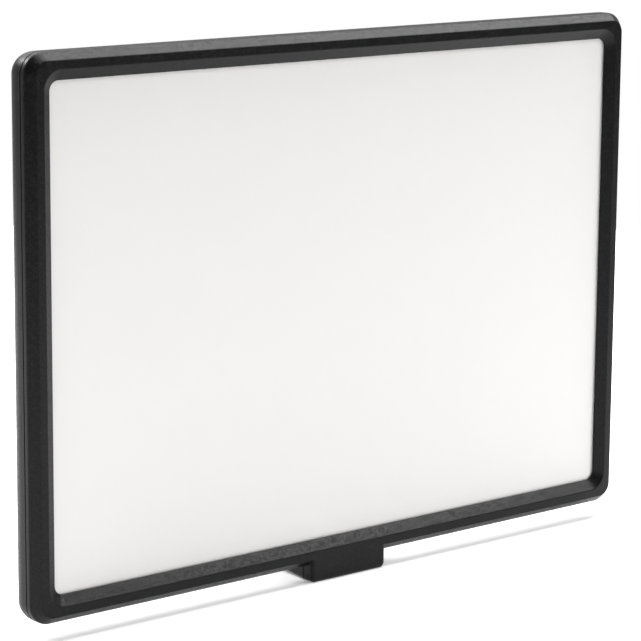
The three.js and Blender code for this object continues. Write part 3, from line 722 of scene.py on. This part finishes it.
class PANEL_LIGHT_OT_front_bezel(bpy.types.Operator):
    """Front shell: chamfered edge, narrow flat face, sloped lip, tongue, foot front and screw posts"""

    bl_idname = "panel_light.front_bezel"
    bl_label = "Front bezel"

    def execute(self, context):
        case, _, _ = settings()
        width, height, foot = case.width / MM, case.height / MM, case.foot / MM
        rim = (case.seam - case.groove / 2) / MM
        section = filleted([
            (0, 2.2, 0.34), (0, rim, 0.1), (0.16, rim, 0), (0.16, rim + 0.22, 0), (1.8, rim + 0.22, 0),
            (1.8, 5.0, 0), (2.5, 5.0, 0), (2.5, 1.9, 0),
            (6.54, 1.9, 0), (6.54, 1.62, 0.12), (3.98, 0, 0.2), (1.9, 0, 0.22),
        ])
        outlines = [(width - 2 * inset, height - 2 * inset, bezel_corner(inset, case.outer_corner / MM),
                     0, deep, foot + height / 2) for inset, deep in section]
        bezel = loft("bezel", outlines, 14, closed=True)
        block_front = loft("foot_front", foot_outlines(case.foot_width / MM, foot + 3.2, rim), 6)
        across, up = screw_places()[0]
        posts = at_screws(rod("posts", (across, 3.8, up), 1.75, 4.4, sides=24))
        unite(bezel, block_front, posts)
        pilots = at_screws(rod("pilots", (across, 4.55, up), 1.05, 3.9, sides=20))
        room = block("room", (-24, 24), (1.9, 5.6), (foot + 2.5, foot + 4.5))
        cut(bezel, pilots, room)
        complete(bezel, "front_shell", case_plastic(), CASE, "case_plastic", "front_bezel")
        return {"FINISHED"}


def pad(width, height, corner, up, front, back, edge, roll, draft=0.0, steps=8):
    """Outlines of a rounded pad whose back edge rolls over, drawn in by edge over a depth of roll."""
    outlines = [(width, height, corner, 0, front, up)]
    for angle in quarter(steps):
        deep = back - roll * (1 - math.sin(angle))
        inset = draft * (deep - front) + edge * (1 - math.cos(angle))
        outlines.append((width - 2 * inset, height - 2 * inset, max(corner - inset, 0.2), 0, deep, up))
    return outlines


def cover_outlines(wall, back):
    case, _, _ = settings()
    width, height, foot = case.width / MM, case.height / MM, case.foot / MM
    seam = (case.seam + case.groove / 2) / MM
    front = seam - 1.15 if wall else seam
    return pad(width - 2 * wall, height - 2 * wall, case.outer_corner / MM - wall, foot + height / 2,
               front, back, 4.0 - wall * 0.93, back - 5.0)


def hump_outlines(wall, front):
    """The hump, with a small hollow fillet where it leaves the cover."""
    width, height, corner = HUMP
    edge = 2.2 - wall * 0.6
    outlines = pad(width - 2 * wall, height - 2 * wall, corner - wall, PLATE_Z, front, HUMP_BACK - wall,
                   edge, edge, draft=HUMP_DRAFT)
    if wall:
        return outlines
    fillet = []
    for angle in quarter(5):
        turn = max(angle, math.radians(9))
        flare = HUMP_FILLET * (1 - math.sin(turn)) - HUMP_DRAFT * (COVER_BACK - front)
        fillet.append((width + 2 * flare, height + 2 * flare, corner + flare, 0,
                       COVER_BACK + HUMP_FILLET * (1 - math.cos(turn)), PLATE_Z))
    return [(*fillet[0][:3], 0, front, PLATE_Z), *fillet, *outlines[1:]]


def foot_rear_outlines():
    """The rear half of the foot runs back under the hump as a drafted stem."""
    case, _, _ = settings()
    width = case.foot_width / MM
    front = (case.seam + case.groove / 2) / MM
    outlines = []
    for deep, roll in [(front, 0.12), (front + 0.12, 0)] + [
            (HUMP_BACK - 1 + math.sin(angle), 1 - math.cos(angle)) for angle in quarter(5)]:
        inset = STEM_DRAFT * (deep - front) + roll
        height = 34 - inset
        outlines.append((width - 2 * inset, height, 1.3, 0, deep, inset + height / 2))
    return outlines


def mouth(name, width, height, corner, place, floor, surface, flare=0.25, steps=5):
    """A cutter for a rounded opening whose edge is broken by a small chamfer at the surface."""
    across, up = place
    wide = (width + 2 * flare, height + 2 * flare, corner + flare, across)
    return loft(name, [
        (width, height, corner, across, floor, up),
        (width, height, corner, across, surface - flare, up),
        (*wide, surface + 0.01, up),
        (*wide, surface + 1.5, up),
    ], steps)


def round_mouth(name, place, radius, floor, surface):
    """A cutter for a round hole with a small chamfer at the surface."""
    across, up = place
    wide = radius + 0.25
    return turned(name, [(0, floor), (radius, floor), (radius, surface - 0.25), (wide, surface),
                         (wide, surface + 1.5), (0, surface + 1.5)], "Y", (across, 0, up), 32)


def counterbore(name, place, shank, start, head, floor, surface, flare=0.25):
    """A cutter for a screw's hole and the recess of its head."""
    across, up = place
    return turned(name, [(0, start), (shank, start), (shank, floor), (head, floor), (head, surface - flare),
                         (head + flare, surface), (head + flare, surface + 1.5), (0, surface + 1.5)],
                  "Y", (across, 0, up), 32)


class PANEL_LIGHT_OT_rear_cover(bpy.types.Operator):
    """Rear shell: rolled edges, the hump for the driver board, the foot's stem, vents and openings"""

    bl_idname = "panel_light.rear_cover"
    bl_label = "Rear cover"

    def execute(self, context):
        case, _, _ = settings()
        foot = case.foot / MM
        cover = loft("cover", cover_outlines(0, COVER_BACK), 14)
        unite(cover, loft("hump", hump_outlines(0, 9.4), 14), loft("stem", foot_rear_outlines(), 6))
        cut(cover,
            loft("cover_inside", cover_outlines(SHELL_WALL, COVER_BACK - 1.45), 8),
            loft("hump_inside", hump_outlines(HUMP_WALL, 8), 8),
            block("stem_inside", (-9, 9), (8, HUMP_BACK - HUMP_WALL), (11.2, 30)))
        across, up = screw_places()[0]
        bosses = [
            block("cup", (-7.1, 7.1), (12.4, HUMP_BACK - 1.1), (CATCH_Z - 5.1, CATCH_Z + 5.1)),
            block("shelf", (-6, 6), (7.15, 10), (foot + 1, 11.2)),
            at_screws(rod("collars", (across, 8.0, up), 2.6, 2.0, sides=24)),
        ]
        unite(cover, *bosses)
        vents = mouth("vents", 16, 1.8, 0.85, (-75, 51), 8, COVER_BACK, 0.3)
        vents = row(vents, [(150 * side, 6 * place)
                            for side in (0, 1) for place in range(8) if side or place])
        socket_room = turned("socket_room", [
            (0, -1), (5.3, -1), (5.3, 1.4), (4.6, 1.4), (4.6, 8.7), (0, 8.7)], "Z", (0, SOCKET_DEPTH, 0))
        heads = at_screws(counterbore("heads", (across, up), 1.1, 5.0, 1.95, 8.3, COVER_BACK))
        cut(cover, vents, socket_room, heads)
        cut(cover,
            block("cup_inside", (-5.9, 5.9), (13.6, 21), (CATCH_Z - 3.9, CATCH_Z + 3.9)),
            row(round_mouth("dial_holes", (-DIAL_X, DIAL_Z), 3.3, HUMP_FLOOR, HUMP_BACK),
                [(2 * DIAL_X, 0)]),
            mouth("window_seat", 26, 17, 1.6, (DIAL_X, DISPLAY_Z), HUMP_BACK - 0.9, HUMP_BACK),
            mouth("slider_seat", 6, 10, 1, (-DIAL_X, DISPLAY_Z), HUMP_BACK - 1, HUMP_BACK, 0.3),
            turned("inlet_room", [(0, 54), (4.4, 54), (4.4, 57.05), (4.9, 57.6), (4.9, 60), (0, 60)], "X",
                   (0, INLET_DEPTH, INLET_Z)))
        cut(cover,
            mouth("window_hole", 22, 13, 1, (DIAL_X, DISPLAY_Z), HUMP_FLOOR, HUMP_BACK),
            block("slider_slot", (-DIAL_X - 1.6, -DIAL_X + 1.6), (HUMP_FLOOR, 21),
                  (DISPLAY_Z - 3.6, DISPLAY_Z + 3.6)),
            block("wire_hole", WIRE_HOLE[0], (HUMP_FLOOR, 21), WIRE_HOLE[1]),
            row(rod("plate_pilots", (PLATE_SCREW[0], 18, PLATE_SCREW[1]), 1.1, 5.6, sides=20),
                PLATE_SCREW_STEPS))
        complete(cover, "rear_shell", case_plastic(), CASE, "case_plastic", "rear_cover")
        return {"FINISHED"}


# ------------------------------------------------------------------------------------------------
# Rear controls
# ------------------------------------------------------------------------------------------------
def fluted_grip(flutes):
    """The knob's grip: a bar whose side is drawn in to flutes, with a rolled rim and a dished crown."""
    radius, top, roll = 7.2, 24.9, 0.5
    sides = flutes * 6
    grip = rod("grip", (-DIAL_X, 22.45, DIAL_Z), radius, 4.9, sides=sides)
    centre = at(-DIAL_X, 22.45, DIAL_Z)
    edit(grip)
    for offsets, factor in (((0,), 0.95), ((1, 5), 0.965)):
        def in_flute(vertex, offsets=offsets):
            angle = math.atan2(vertex.co.z - centre.z, vertex.co.x - centre.x)
            return round(angle / (2 * math.pi) * sides) % 6 in offsets
        pick(grip, in_flute)
        bpy.ops.transform.resize(value=(factor, 1, factor), center_override=centre)
    pick(grip, lambda face: face.normal.y > 0.99, "FACE")
    path = [(radius - roll * (1 - math.cos(angle)), top + roll * math.sin(angle)) for angle in quarter(4)]
    path += [(5.7, 25.4), (5.6, 25.33), (5.45, 25.12), (5.3, 25.08), (2.6, 25.14), (0.8, 25.16)]
    for (reach, deep), (next_reach, next_deep) in zip(path, path[1:]):
        bpy.ops.mesh.extrude_region_move(TRANSFORM_OT_translate={"value": (0, next_deep - deep, 0)})
        shrink = next_reach / reach
        bpy.ops.transform.resize(value=(shrink, 1, shrink), center_override=centre)
    clear_selection()
    return grip


def pointer_bar(name, start, end, thick, low, high):
    """A round-ended bar that points at the dial's rest mark, drawn upright and then turned."""
    bar = loft(name, [(thick, end - start, thick * 0.49, -DIAL_X, deep, DIAL_Z + (start + end) / 2)
                      for deep in (low, high)], 6)
    activate(bar)
    turn = Matrix.Rotation(math.radians(POINTER_ANGLE), 4, "Y")
    pivot = at(-DIAL_X, 0, DIAL_Z)
    bar.matrix_world = Matrix.Translation(pivot) @ turn @ Matrix.Translation(-pivot)
    return settle(name)


class PANEL_LIGHT_OT_dials(bpy.types.Operator):
    """Brightness and colour dials: fluted knobs with a skirt and a filled pointer line"""

    bl_idname = "panel_light.dials"
    bl_label = "Dials"

    def execute(self, context):
        _, _, controls = settings()
        knob = fluted_grip(controls.flutes)
        skirt = turned("skirt", [
            (0, 19.4), (7.85, 19.4), (8.0, 19.55), (8.0, 20.25), (7.75, 20.6), (6.6, 20.75), (0, 20.75)],
            "Y", (-DIAL_X, 0, DIAL_Z), 96)
        unite(knob, skirt)
        cut(knob,
            turned("hollow", [(0, 18), (5.8, 18), (5.8, 20.2), (3.3, 20.2), (3.3, 23.8), (0, 23.8)], "Y",
                   (-DIAL_X, 0, DIAL_Z), 40),
            pointer_bar("pointer_groove", 2.6, 8.4, 1.0, 24.85, 27))
        line = pointer_bar("pointer_line", 2.8, 6.7, 0.9, 24.7, 25.12)
        soften(line, 0.06)
        knob_copy, line_copy = copied(knob, 2 * DIAL_X, 0), copied(line, 2 * DIAL_X, 0)
        for piece, fill, word in ((knob, line, "brightness"), (knob_copy, line_copy, "colour")):
            body = f"{word}_dial"
            complete(piece, f"{word}_dial_knob", control_plastic(), body, "control_plastic", f"{word}_knob")
            complete(fill, f"{word}_pointer", print_ink(), body, "control_plastic")
        return {"FINISHED"}


class PANEL_LIGHT_OT_marks(bpy.types.Operator):
    """Printed scale round each dial, minus and plus signs, and the slider's off and on marks"""

    bl_idname = "panel_light.marks"
    bl_label = "Printed marks"

    def execute(self, context):
        low, high = HUMP_BACK - 0.1, HUMP_BACK + 0.03

        def print_bar(wide, tall, corner, across, up):
            return loft("bar", [(wide, tall, corner, across, deep, up) for deep in (low, high)], 3)

        marks = []
        for centre in (-DIAL_X, DIAL_X):
            for step in range(11):
                angle = math.radians(POINTER_ANGLE - DIAL_STEP * step)
                start, end, wide = (8.9, 10.7, 0.42) if step % 5 == 0 else (8.9, 10.0, 0.3)
                middle_radius = (start + end) / 2
                tick = print_bar(wide, end - start, 0.12, 0, 0)
                activate(tick)
                place = (centre + middle_radius * math.sin(angle), 0,
                         DIAL_Z + middle_radius * math.cos(angle))
                tick.matrix_world = Matrix.Translation(place) @ Matrix.Rotation(angle, 4, "Y")
                marks.append(settle("tick"))
            minus = print_bar(1.9, 0.36, 0.15, centre + 9.6, DIAL_Z - 10.2)
            plus = [print_bar(wide, tall, 0.15, centre - 9.6, DIAL_Z - 10.2)
                    for wide, tall in ((1.9, 0.36), (0.36, 1.9))]
            marks += [minus, unite(*plus)]
        marks.append(print_bar(0.4, 1.9, 0.18, -DIAL_X, DISPLAY_Z + 7.2))
        marks.append(turned("off", [(0.72, low), (1.08, low), (1.08, high), (0.72, high), (0.72, low)], "Y",
                            (-DIAL_X, 0, DISPLAY_Z - 7.3), 32))
        complete(join(*marks), "printed_marks", print_ink(), CASE, "control_plastic")
        return {"FINISHED"}


class PANEL_LIGHT_OT_power_slider(bpy.types.Operator):
    """Power slider: a ribbed cap on its stem"""

    bl_idname = "panel_light.power_slider"
    bl_label = "Power slider"

    def execute(self, context):
        rest = SLIDER_REST
        cap = block("cap", (-DIAL_X - 2.2, -DIAL_X + 2.2), (HUMP_BACK - 0.7, 20.1),
                    (rest - 2.5, rest + 2.5))
        soften(cap, 0.25, 3)
        ribs = row(rod("ribs", (-DIAL_X, 20.12, rest - 1.4), 0.42, 3.9, "X", 24), [(0, 1.4), (0, 2.8)])
        stem = block("stem", (-DIAL_X - 1.2, -DIAL_X + 1.2), (14.9, 19), (rest - 1.8, rest + 1.8))
        unite(cap, ribs, stem)
        complete(cap, "power_slider_cap", control_plastic(), "power_slide", "control_plastic",
                 "power_slider")
        return {"FINISHED"}


class PANEL_LIGHT_OT_display(bpy.types.Operator):
    """Display window: a thin dark glass plate with bevelled edges, and the display's unlit segments"""

    bl_idname = "panel_light.display"
    bl_label = "Display window"

    def execute(self, context):
        glass = loft("glass", [
            (25.4, 16.4, 1.3, DIAL_X, HUMP_BACK - 0.6, DISPLAY_Z),
            (25.4, 16.4, 1.3, DIAL_X, HUMP_BACK - 0.22, DISPLAY_Z),
            (25.2, 16.2, 1.2, DIAL_X, HUMP_BACK - 0.07, DISPLAY_Z),
            (24.9, 15.9, 1.05, DIAL_X, HUMP_BACK - 0.02, DISPLAY_Z),
        ], 8)
        complete(glass, "display_glass_plate", dark_glass(), CASE, "display_glass", "display_window")
        level = (HUMP_BACK - 0.1, HUMP_BACK - 0.005)
        flat, upright = (1.5, 0.34), (0.34, 1.5)
        figure = [(0, 2, flat), (0, 0, flat), (0, -2, flat),
                  (-1, 1, upright), (1, 1, upright), (-1, -1, upright), (1, -1, upright)]
        bars = []
        for line, digits, scale in ((3.4, 3, 1.25), (-3.6, 4, 0.95)):
            for digit in range(digits):
                centre = DIAL_X + (digit - (digits - 1) / 2) * 4.6 * scale
                for side, up, (wide, tall) in figure:
                    bars.append(loft("bar", [
                        (wide * scale, tall * scale, 0.15 * scale, centre + side * 1.05 * scale, deep,
                         DISPLAY_Z + line + up * scale) for deep in level], 1))
        segments = join(*bars)
        complete(segments, "display_segments", segment_grey(), CASE, "display_glass")
        return {"FINISHED"}


class PANEL_LIGHT_OT_inlet(bpy.types.Operator):
    """Power inlet: a moulded body with a countersunk mouth and its centre pin"""

    bl_idname = "panel_light.inlet"
    bl_label = "Power inlet"

    def execute(self, context):
        body = block("inlet", (44.8, 55.2), (9.2, 16.2), (INLET_Z - 4.5, INLET_Z + 4.5))
        soften(body, 0.3, 3)
        cut(body, turned("bore", [(0, 47), (2.9, 47), (2.9, 54.8), (3.3, 55.25), (3.3, 57), (0, 57)],
                         "X", (0, INLET_DEPTH, INLET_Z), 48))
        pin = turned("pin", [(0, 46.5), (0.9, 46.5), (0.9, 53.8), (0.75, 54.1), (0.4, 54.2), (0, 54.2)],
                     "X", (0, INLET_DEPTH, INLET_Z), 24)
        unite(body, pin)
        complete(body, "power_inlet", control_plastic(), CASE, "control_plastic", "dc_inlet")
        return {"FINISHED"}


# ------------------------------------------------------------------------------------------------
# Battery plate
# ------------------------------------------------------------------------------------------------
class PANEL_LIGHT_OT_battery_plate(bpy.types.Operator):
    """Battery plate: rounded pad with hooked lugs, counterbores and the openings for catch and wires"""

    bl_idname = "panel_light.battery_plate"
    bl_label = "Battery plate"

    def execute(self, context):
        plate = loft("plate", pad(41, 68, 2.5, PLATE_Z, PLATE_FRONT, PLATE_BACK, 0.5, 0.5, steps=5), 8)
        lugs = []
        for side in (-1, 1):
            across = side * 17
            stem = block("lug", (across - 0.8, across + 0.8), (21.4, 25.2), (56, 64))
            lip = block("lip", sorted((across - side * 0.8, across + side * 2.1)), (24.1, 25.2), (56, 64))
            lug = unite(stem, lip)
            soften(lug, 0.22, 3)
            lugs.append(row(lug, [(0, 26)]))
        unite(plate, *lugs)
        cut(plate,
            row(counterbore("counterbores", PLATE_SCREW, 1.05, 18, 1.95, 20.6, PLATE_BACK, 0.2),
                PLATE_SCREW_STEPS),
            mouth("catch_hole", 9.6, 5.6, 0.5, (0, CATCH_Z), 18, PLATE_BACK, 0.2),
            block("catch_room", (-5.8, 5.8), (18, 20.6), (CATCH_Z - 3.8, CATCH_Z + 3.8)),
            block("wire_hole", WIRE_HOLE[0], (18, 23), WIRE_HOLE[1]),
            row(mouth("rail_grooves", 1.2, 50, 0.55, (-11, 69), 21.4, PLATE_BACK, 0.15), [(22, 0)]))
        complete(plate, "battery_slide_plate", case_plastic(), CASE, "case_plastic", "battery_plate")
        return {"FINISHED"}


class PANEL_LIGHT_OT_contacts(bpy.types.Operator):
    """Battery contacts: the moulded block, slotted for three flat blades with chamfered tips"""

    bl_idname = "panel_light.contacts"
    bl_label = "Battery contacts"

    def execute(self, context):
        body = block("contacts", (-13, 13), (22, 26), (38.6, 45.4))
        soften(body, 0.45, 4)
        cut(body,
            row(mouth("slots", 1.4, 5, 0.3, (-8, 44.5), 22.4, 25.2, 0.1, 3), [(8, 0), (16, 0)]),
            row(rod("wires", (-3, 22, 42), 1.0, 4, sides=24), [(6, 0)]))
        complete(body, "battery_contact_block", control_plastic(), CASE, "control_plastic",
                 "contact_block")
        top = 49.2
        blade = block("blade", (-8.4, -7.6), (22.7, 24.9), (42.3, top))
        edit(blade)
        pick(blade, lambda face: abs(face.calc_center_median().z - top) < 1e-3, "FACE")
        bpy.ops.mesh.bevel(offset=0.3, segments=2, affect="EDGES")
        clear_selection()
        soften(blade, 0.08, 2)
        blades = [blade, copied(blade, 8, 0), copied(blade, 16, 0)]
        for number, piece in enumerate(blades, 1):
            complete(piece, f"battery_blade_{number}", contact_brass(), CASE, "contact_brass",
                     f"contact_blade_{number}")
        return {"FINISHED"}


class PANEL_LIGHT_OT_catch(bpy.types.Operator):
    """Battery catch: a sloped button on its flange, and the coil spring that pushes it out"""

    bl_idname = "panel_light.catch"
    bl_label = "Battery catch"

    def execute(self, context):
        button = block("button", (-4.5, 4.5), (PLATE_FRONT, 24.1), (CATCH_Z - 2.5, CATCH_Z + 2.5))
        edit(button)
        pick(button, lambda vertex: vertex.co.y > FRONT + 24 and vertex.co.z > CATCH_Z)
        bpy.ops.transform.translate(value=(0, -1.9, 0))
        clear_selection()
        soften(button, 0.35, 4)
        flange = block("flange", (-5.5, 5.5), (PLATE_FRONT, 20.3), (CATCH_Z - 3.5, CATCH_Z + 3.5))
        soften(flange, 0.2, 2)
        unite(button, flange)
        complete(button, "battery_release_catch", control_plastic(), "catch", "control_plastic",
                 "battery_catch")
        coil_radius, wire_radius, seat = 2.2, 0.25, 14.15
        clear_selection()
        bpy.ops.mesh.primitive_circle_add(vertices=10, radius=wire_radius, fill_type="NOTHING",
                                          location=(coil_radius, 0, 0))
        coil = wound(settle("coil"), at(0, seat, CATCH_Z), "Y", 4.5, 4.6, 108)
        complete(coil, "catch_coil_spring", steel(), CASE, "bright_steel", "catch_spring")
        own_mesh(coil)
        return {"FINISHED"}


# ------------------------------------------------------------------------------------------------
# Metal fittings
# ------------------------------------------------------------------------------------------------
class PANEL_LIGHT_OT_socket(bpy.types.Operator):
    """Tripod socket: a flanged brass insert with a quarter-inch thread"""

    bl_idname = "panel_light.socket"
    bl_label = "Tripod socket"

    def execute(self, context):
        insert = turned("insert", [
            (0, 7.2), (3.0, 7.2), (3.175, 7.0), (3.175, 0.45), (3.6, 0.02), (4.72, 0.0), (4.95, 0.1),
            (5.0, 0.3), (5.0, 1.1), (4.3, 1.1), (4.3, 8.2), (4.1, 8.4), (0, 8.4)],
            "Z", (0, SOCKET_DEPTH, 0), 64)
        clear_selection()
        bpy.ops.mesh.primitive_circle_add(vertices=3, radius=0.62, location=(0, 0, 0), fill_type="NOTHING",
                                          rotation=(math.pi / 2, 0, 0))
        thread = settle("thread")
        edit(thread)
        bpy.ops.mesh.select_all(action="SELECT")
        bpy.ops.transform.rotate(value=math.pi / 2, orient_axis="Y", center_override=(0, 0, 0))
        bpy.ops.transform.translate(value=(3.0, 0, 0))
        turns, pitch = 5, 1.27
        thread = wound(thread, at(0, SOCKET_DEPTH, 0.1), "Z", turns, turns * pitch, 160)
        cut(insert, thread)
        complete(insert, "tripod_thread_insert", brass(), CASE, "socket_brass", "tripod_socket")
        return {"FINISHED"}


def cross_head(name, head, seat, tip, radius):
    """A pan-head screw with a cross recess, drawn at the middle of the panel."""
    screw = turned(name, [
        (0, tip), (0.35, tip), (0.7, tip + 0.8), (0.7, seat), (radius, seat), (radius, head - 0.32),
        (radius - 0.12, head - 0.14), (radius - 0.4, head - 0.03), (radius - 0.8, head), (0, head)],
        "Y", (0, 0, 0), 28)
    reach = radius * 0.62
    slots = [block("slot", (-wide, wide), (head - 0.42, head + 0.5), (-tall, tall))
             for wide, tall in ((reach, 0.2), (0.2, reach))]
    cone = turned("cone", [(0, head - 0.6), (0.1, head - 0.6), (0.62, head + 0.02), (0.62, head + 0.5),
                           (0, head + 0.5)], "Y", (0, 0, 0), 16)
    return cut(screw, *slots, cone)


class PANEL_LIGHT_OT_screws(bpy.types.Operator):
    """Cross-head screws of the rear cover and the battery plate"""

    bl_idname = "panel_light.screws"
    bl_label = "Screws"

    def execute(self, context):
        plate_places = [(PLATE_SCREW[0] + across, PLATE_SCREW[1] + up)
                        for across, up in [(0, 0), *PLATE_SCREW_STEPS]]
        kinds = (("cover_screw", screw_places(), (9.5, 8.6, 3.2, 1.6)),
                 ("plate_screw", plate_places, (21.6, 20.9, 15.8, 1.6)))
        for word, places, shape in kinds:
            model = cross_head(word, *shape)
            for number, (across, up) in enumerate(places, 1):
                complete(copied(model, across, up), f"{word}_{number}_black", black_zinc(), CASE,
                         "black_screw", f"{word}_{number}")
            bpy.data.objects.remove(model)
        return {"FINISHED"}


class PANEL_LIGHT_OT_inner_finishes(bpy.types.Operator):
    """Finishes of the face and of the pieces inside the case, which keep their frame shapes"""

    bl_idname = "panel_light.inner_finishes"
    bl_label = "Face and inner finishes"

    def execute(self, context):
        plans = {
            opal_acrylic: ["diffuser"],
            clear_guide: ["light_guide"],
            white_film: ["reflector_sheet"],
            aluminium: ["brightness_shaft", "colour_shaft"],
            dull_aluminium: ["back_plate"],
            strip_board: ["led_strip_left", "led_strip_right"],
            flat_lead: ["led_lead_left", "led_lead_right"],
            driver_board: ["control_board"],
            dark_glass: ["display_module"],
            steel: ["brightness_potentiometer", "colour_potentiometer", "power_switch_body",
                    "board_screw_1", "board_screw_2", "board_screw_3", "board_screw_4"],
            red_wire: ["battery_lead_positive"],
            black_wire: ["battery_lead_negative"],
        }
        for make, names in plans.items():
            for name in names:
                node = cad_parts[name]
                node.data.materials.clear()
                node.data.materials.append(make())
        return {"FINISHED"}


# ------------------------------------------------------------------------------------------------
# Stage
# ------------------------------------------------------------------------------------------------
def studio_world():
    """A plain white room that is dimmer in front of the panel; the camera sees it white all round."""
    world = bpy.data.worlds.new("studio")
    world.use_nodes = True
    background = world.node_tree.nodes["Background"]
    background.inputs["Color"].default_value = (1, 1, 1, 1)
    make, connect = world.node_tree.nodes.new, world.node_tree.links.new
    direction = make("ShaderNodeTexCoord")
    split = make("ShaderNodeSeparateXYZ")
    depth = make("ShaderNodeMapRange")
    for key, value in {"From Min": -0.5, "From Max": 0.5, "To Min": 0.14, "To Max": 0.6}.items():
        depth.inputs[key].default_value = value
    rays = make("ShaderNodeLightPath")
    seen = make("ShaderNodeMath")
    seen.operation = "MAXIMUM"
    connect(direction.outputs["Generated"], split.inputs["Vector"])
    connect(split.outputs["Y"], depth.inputs["Value"])
    connect(depth.outputs["Result"], seen.inputs[0])
    connect(rays.outputs["Is Camera Ray"], seen.inputs[1])
    connect(seen.outputs["Value"], background.inputs["Strength"])
    return world


class PANEL_LIGHT_OT_stage(bpy.types.Operator):
    """Pale floor, soft lights and the camera"""

    bl_idname = "panel_light.stage"
    bl_label = "Stage"

    def execute(self, context):
        scene = context.scene
        clear_selection()
        scene.view_settings.view_transform = "Standard"
        camera = bpy.data.objects.new("camera", bpy.data.cameras.new("camera"))
        scene.collection.objects.link(camera)
        camera.data.sensor_width = 36
        camera.data.lens = 156.31
        camera.data.clip_start = 0.01     # metres
        right = Vector((0.76571, -0.64314, 0.00786))
        up = Vector((0.11809, 0.15258, 0.98121))
        forward = Vector((0.63225, 0.7504, -0.19278))
        turn = Matrix((right, up, -forward)).transposed().to_4x4()
        camera.matrix_world = Matrix.Translation((-0.43883, -0.52189, 0.19699)) @ turn
        scene.camera = camera
        bpy.ops.mesh.primitive_circle_add(vertices=96, radius=FLOOR_RADIUS, fill_type="NGON")
        floor = bpy.context.object
        floor.name = "floor"
        floor.data.materials.append(floor_paint())
        scene.world = studio_world()
        self.light("overhead", (0.36, 0.0, 0.88), (0.4, 1.05), 12.0, (0.12, 0.04, 0))
        self.light("right_front", (1.15, -0.9, 1.1), (0.6, 0.6), 15.0, (0, 0, 0.07))
        self.light("rim", (-0.45, 0.95, 0.95), (0.4, 0.4), 14.0, (0, 0, 0.1))
        self.light("backdrop", (0.4, 1.45, 1.45), (2.4, 2.0), 34.0, (0.6, 0.9, 0))
        return {"FINISHED"}

    def light(self, name, place, extent, power, target):
        """A rectangular soft light that faces a target."""
        lamp = bpy.data.lights.new(name, "AREA")
        lamp.shape = "RECTANGLE"
        lamp.size, lamp.size_y = extent
        lamp.energy = power
        holder = bpy.data.objects.new(name, lamp)
        bpy.context.scene.collection.objects.link(holder)
        holder.location = place
        holder.rotation_euler = (Vector(target) - Vector(place)).to_track_quat("-Z", "Y").to_euler()


# ------------------------------------------------------------------------------------------------
# Sidebar and registration
# ------------------------------------------------------------------------------------------------
STEPS = (
    PANEL_LIGHT_OT_stage,
    PANEL_LIGHT_OT_front_bezel,
    PANEL_LIGHT_OT_rear_cover,
    PANEL_LIGHT_OT_dials,
    PANEL_LIGHT_OT_marks,
    PANEL_LIGHT_OT_power_slider,
    PANEL_LIGHT_OT_display,
    PANEL_LIGHT_OT_inlet,
    PANEL_LIGHT_OT_battery_plate,
    PANEL_LIGHT_OT_contacts,
    PANEL_LIGHT_OT_catch,
    PANEL_LIGHT_OT_socket,
    PANEL_LIGHT_OT_screws,
    PANEL_LIGHT_OT_inner_finishes,
)


class PANEL_LIGHT_PT_sidebar(bpy.types.Panel):
    """Sizes, colours and building steps"""

    bl_idname = "PANEL_LIGHT_PT_sidebar"
    bl_label = "LED panel light"
    bl_space_type = "VIEW_3D"
    bl_region_type = "UI"
    bl_category = "Panel Light"

    def draw(self, context):
        for group in settings():
            for name in group.__annotations__:
                self.layout.prop(group, name)
        for step in STEPS:
            self.layout.operator(step.bl_idname)


CLASSES = (CaseSettings, FaceSettings, ControlSettings, *STEPS, PANEL_LIGHT_PT_sidebar)


def register():
    for item in CLASSES:
        bpy.utils.register_class(item)
    bpy.types.Scene.panel_light_case = bpy.props.PointerProperty(type=CaseSettings)
    bpy.types.Scene.panel_light_face = bpy.props.PointerProperty(type=FaceSettings)
    bpy.types.Scene.panel_light_controls = bpy.props.PointerProperty(type=ControlSettings)


def unregister():
    del bpy.types.Scene.panel_light_case
    del bpy.types.Scene.panel_light_face
    del bpy.types.Scene.panel_light_controls
    for item in reversed(CLASSES):
        bpy.utils.unregister_class(item)


def main():
    register()
    for step in STEPS:
        group, name = step.bl_idname.split(".")
        getattr(getattr(bpy.ops, group), name)()


if __name__ == "__main__":
    main()
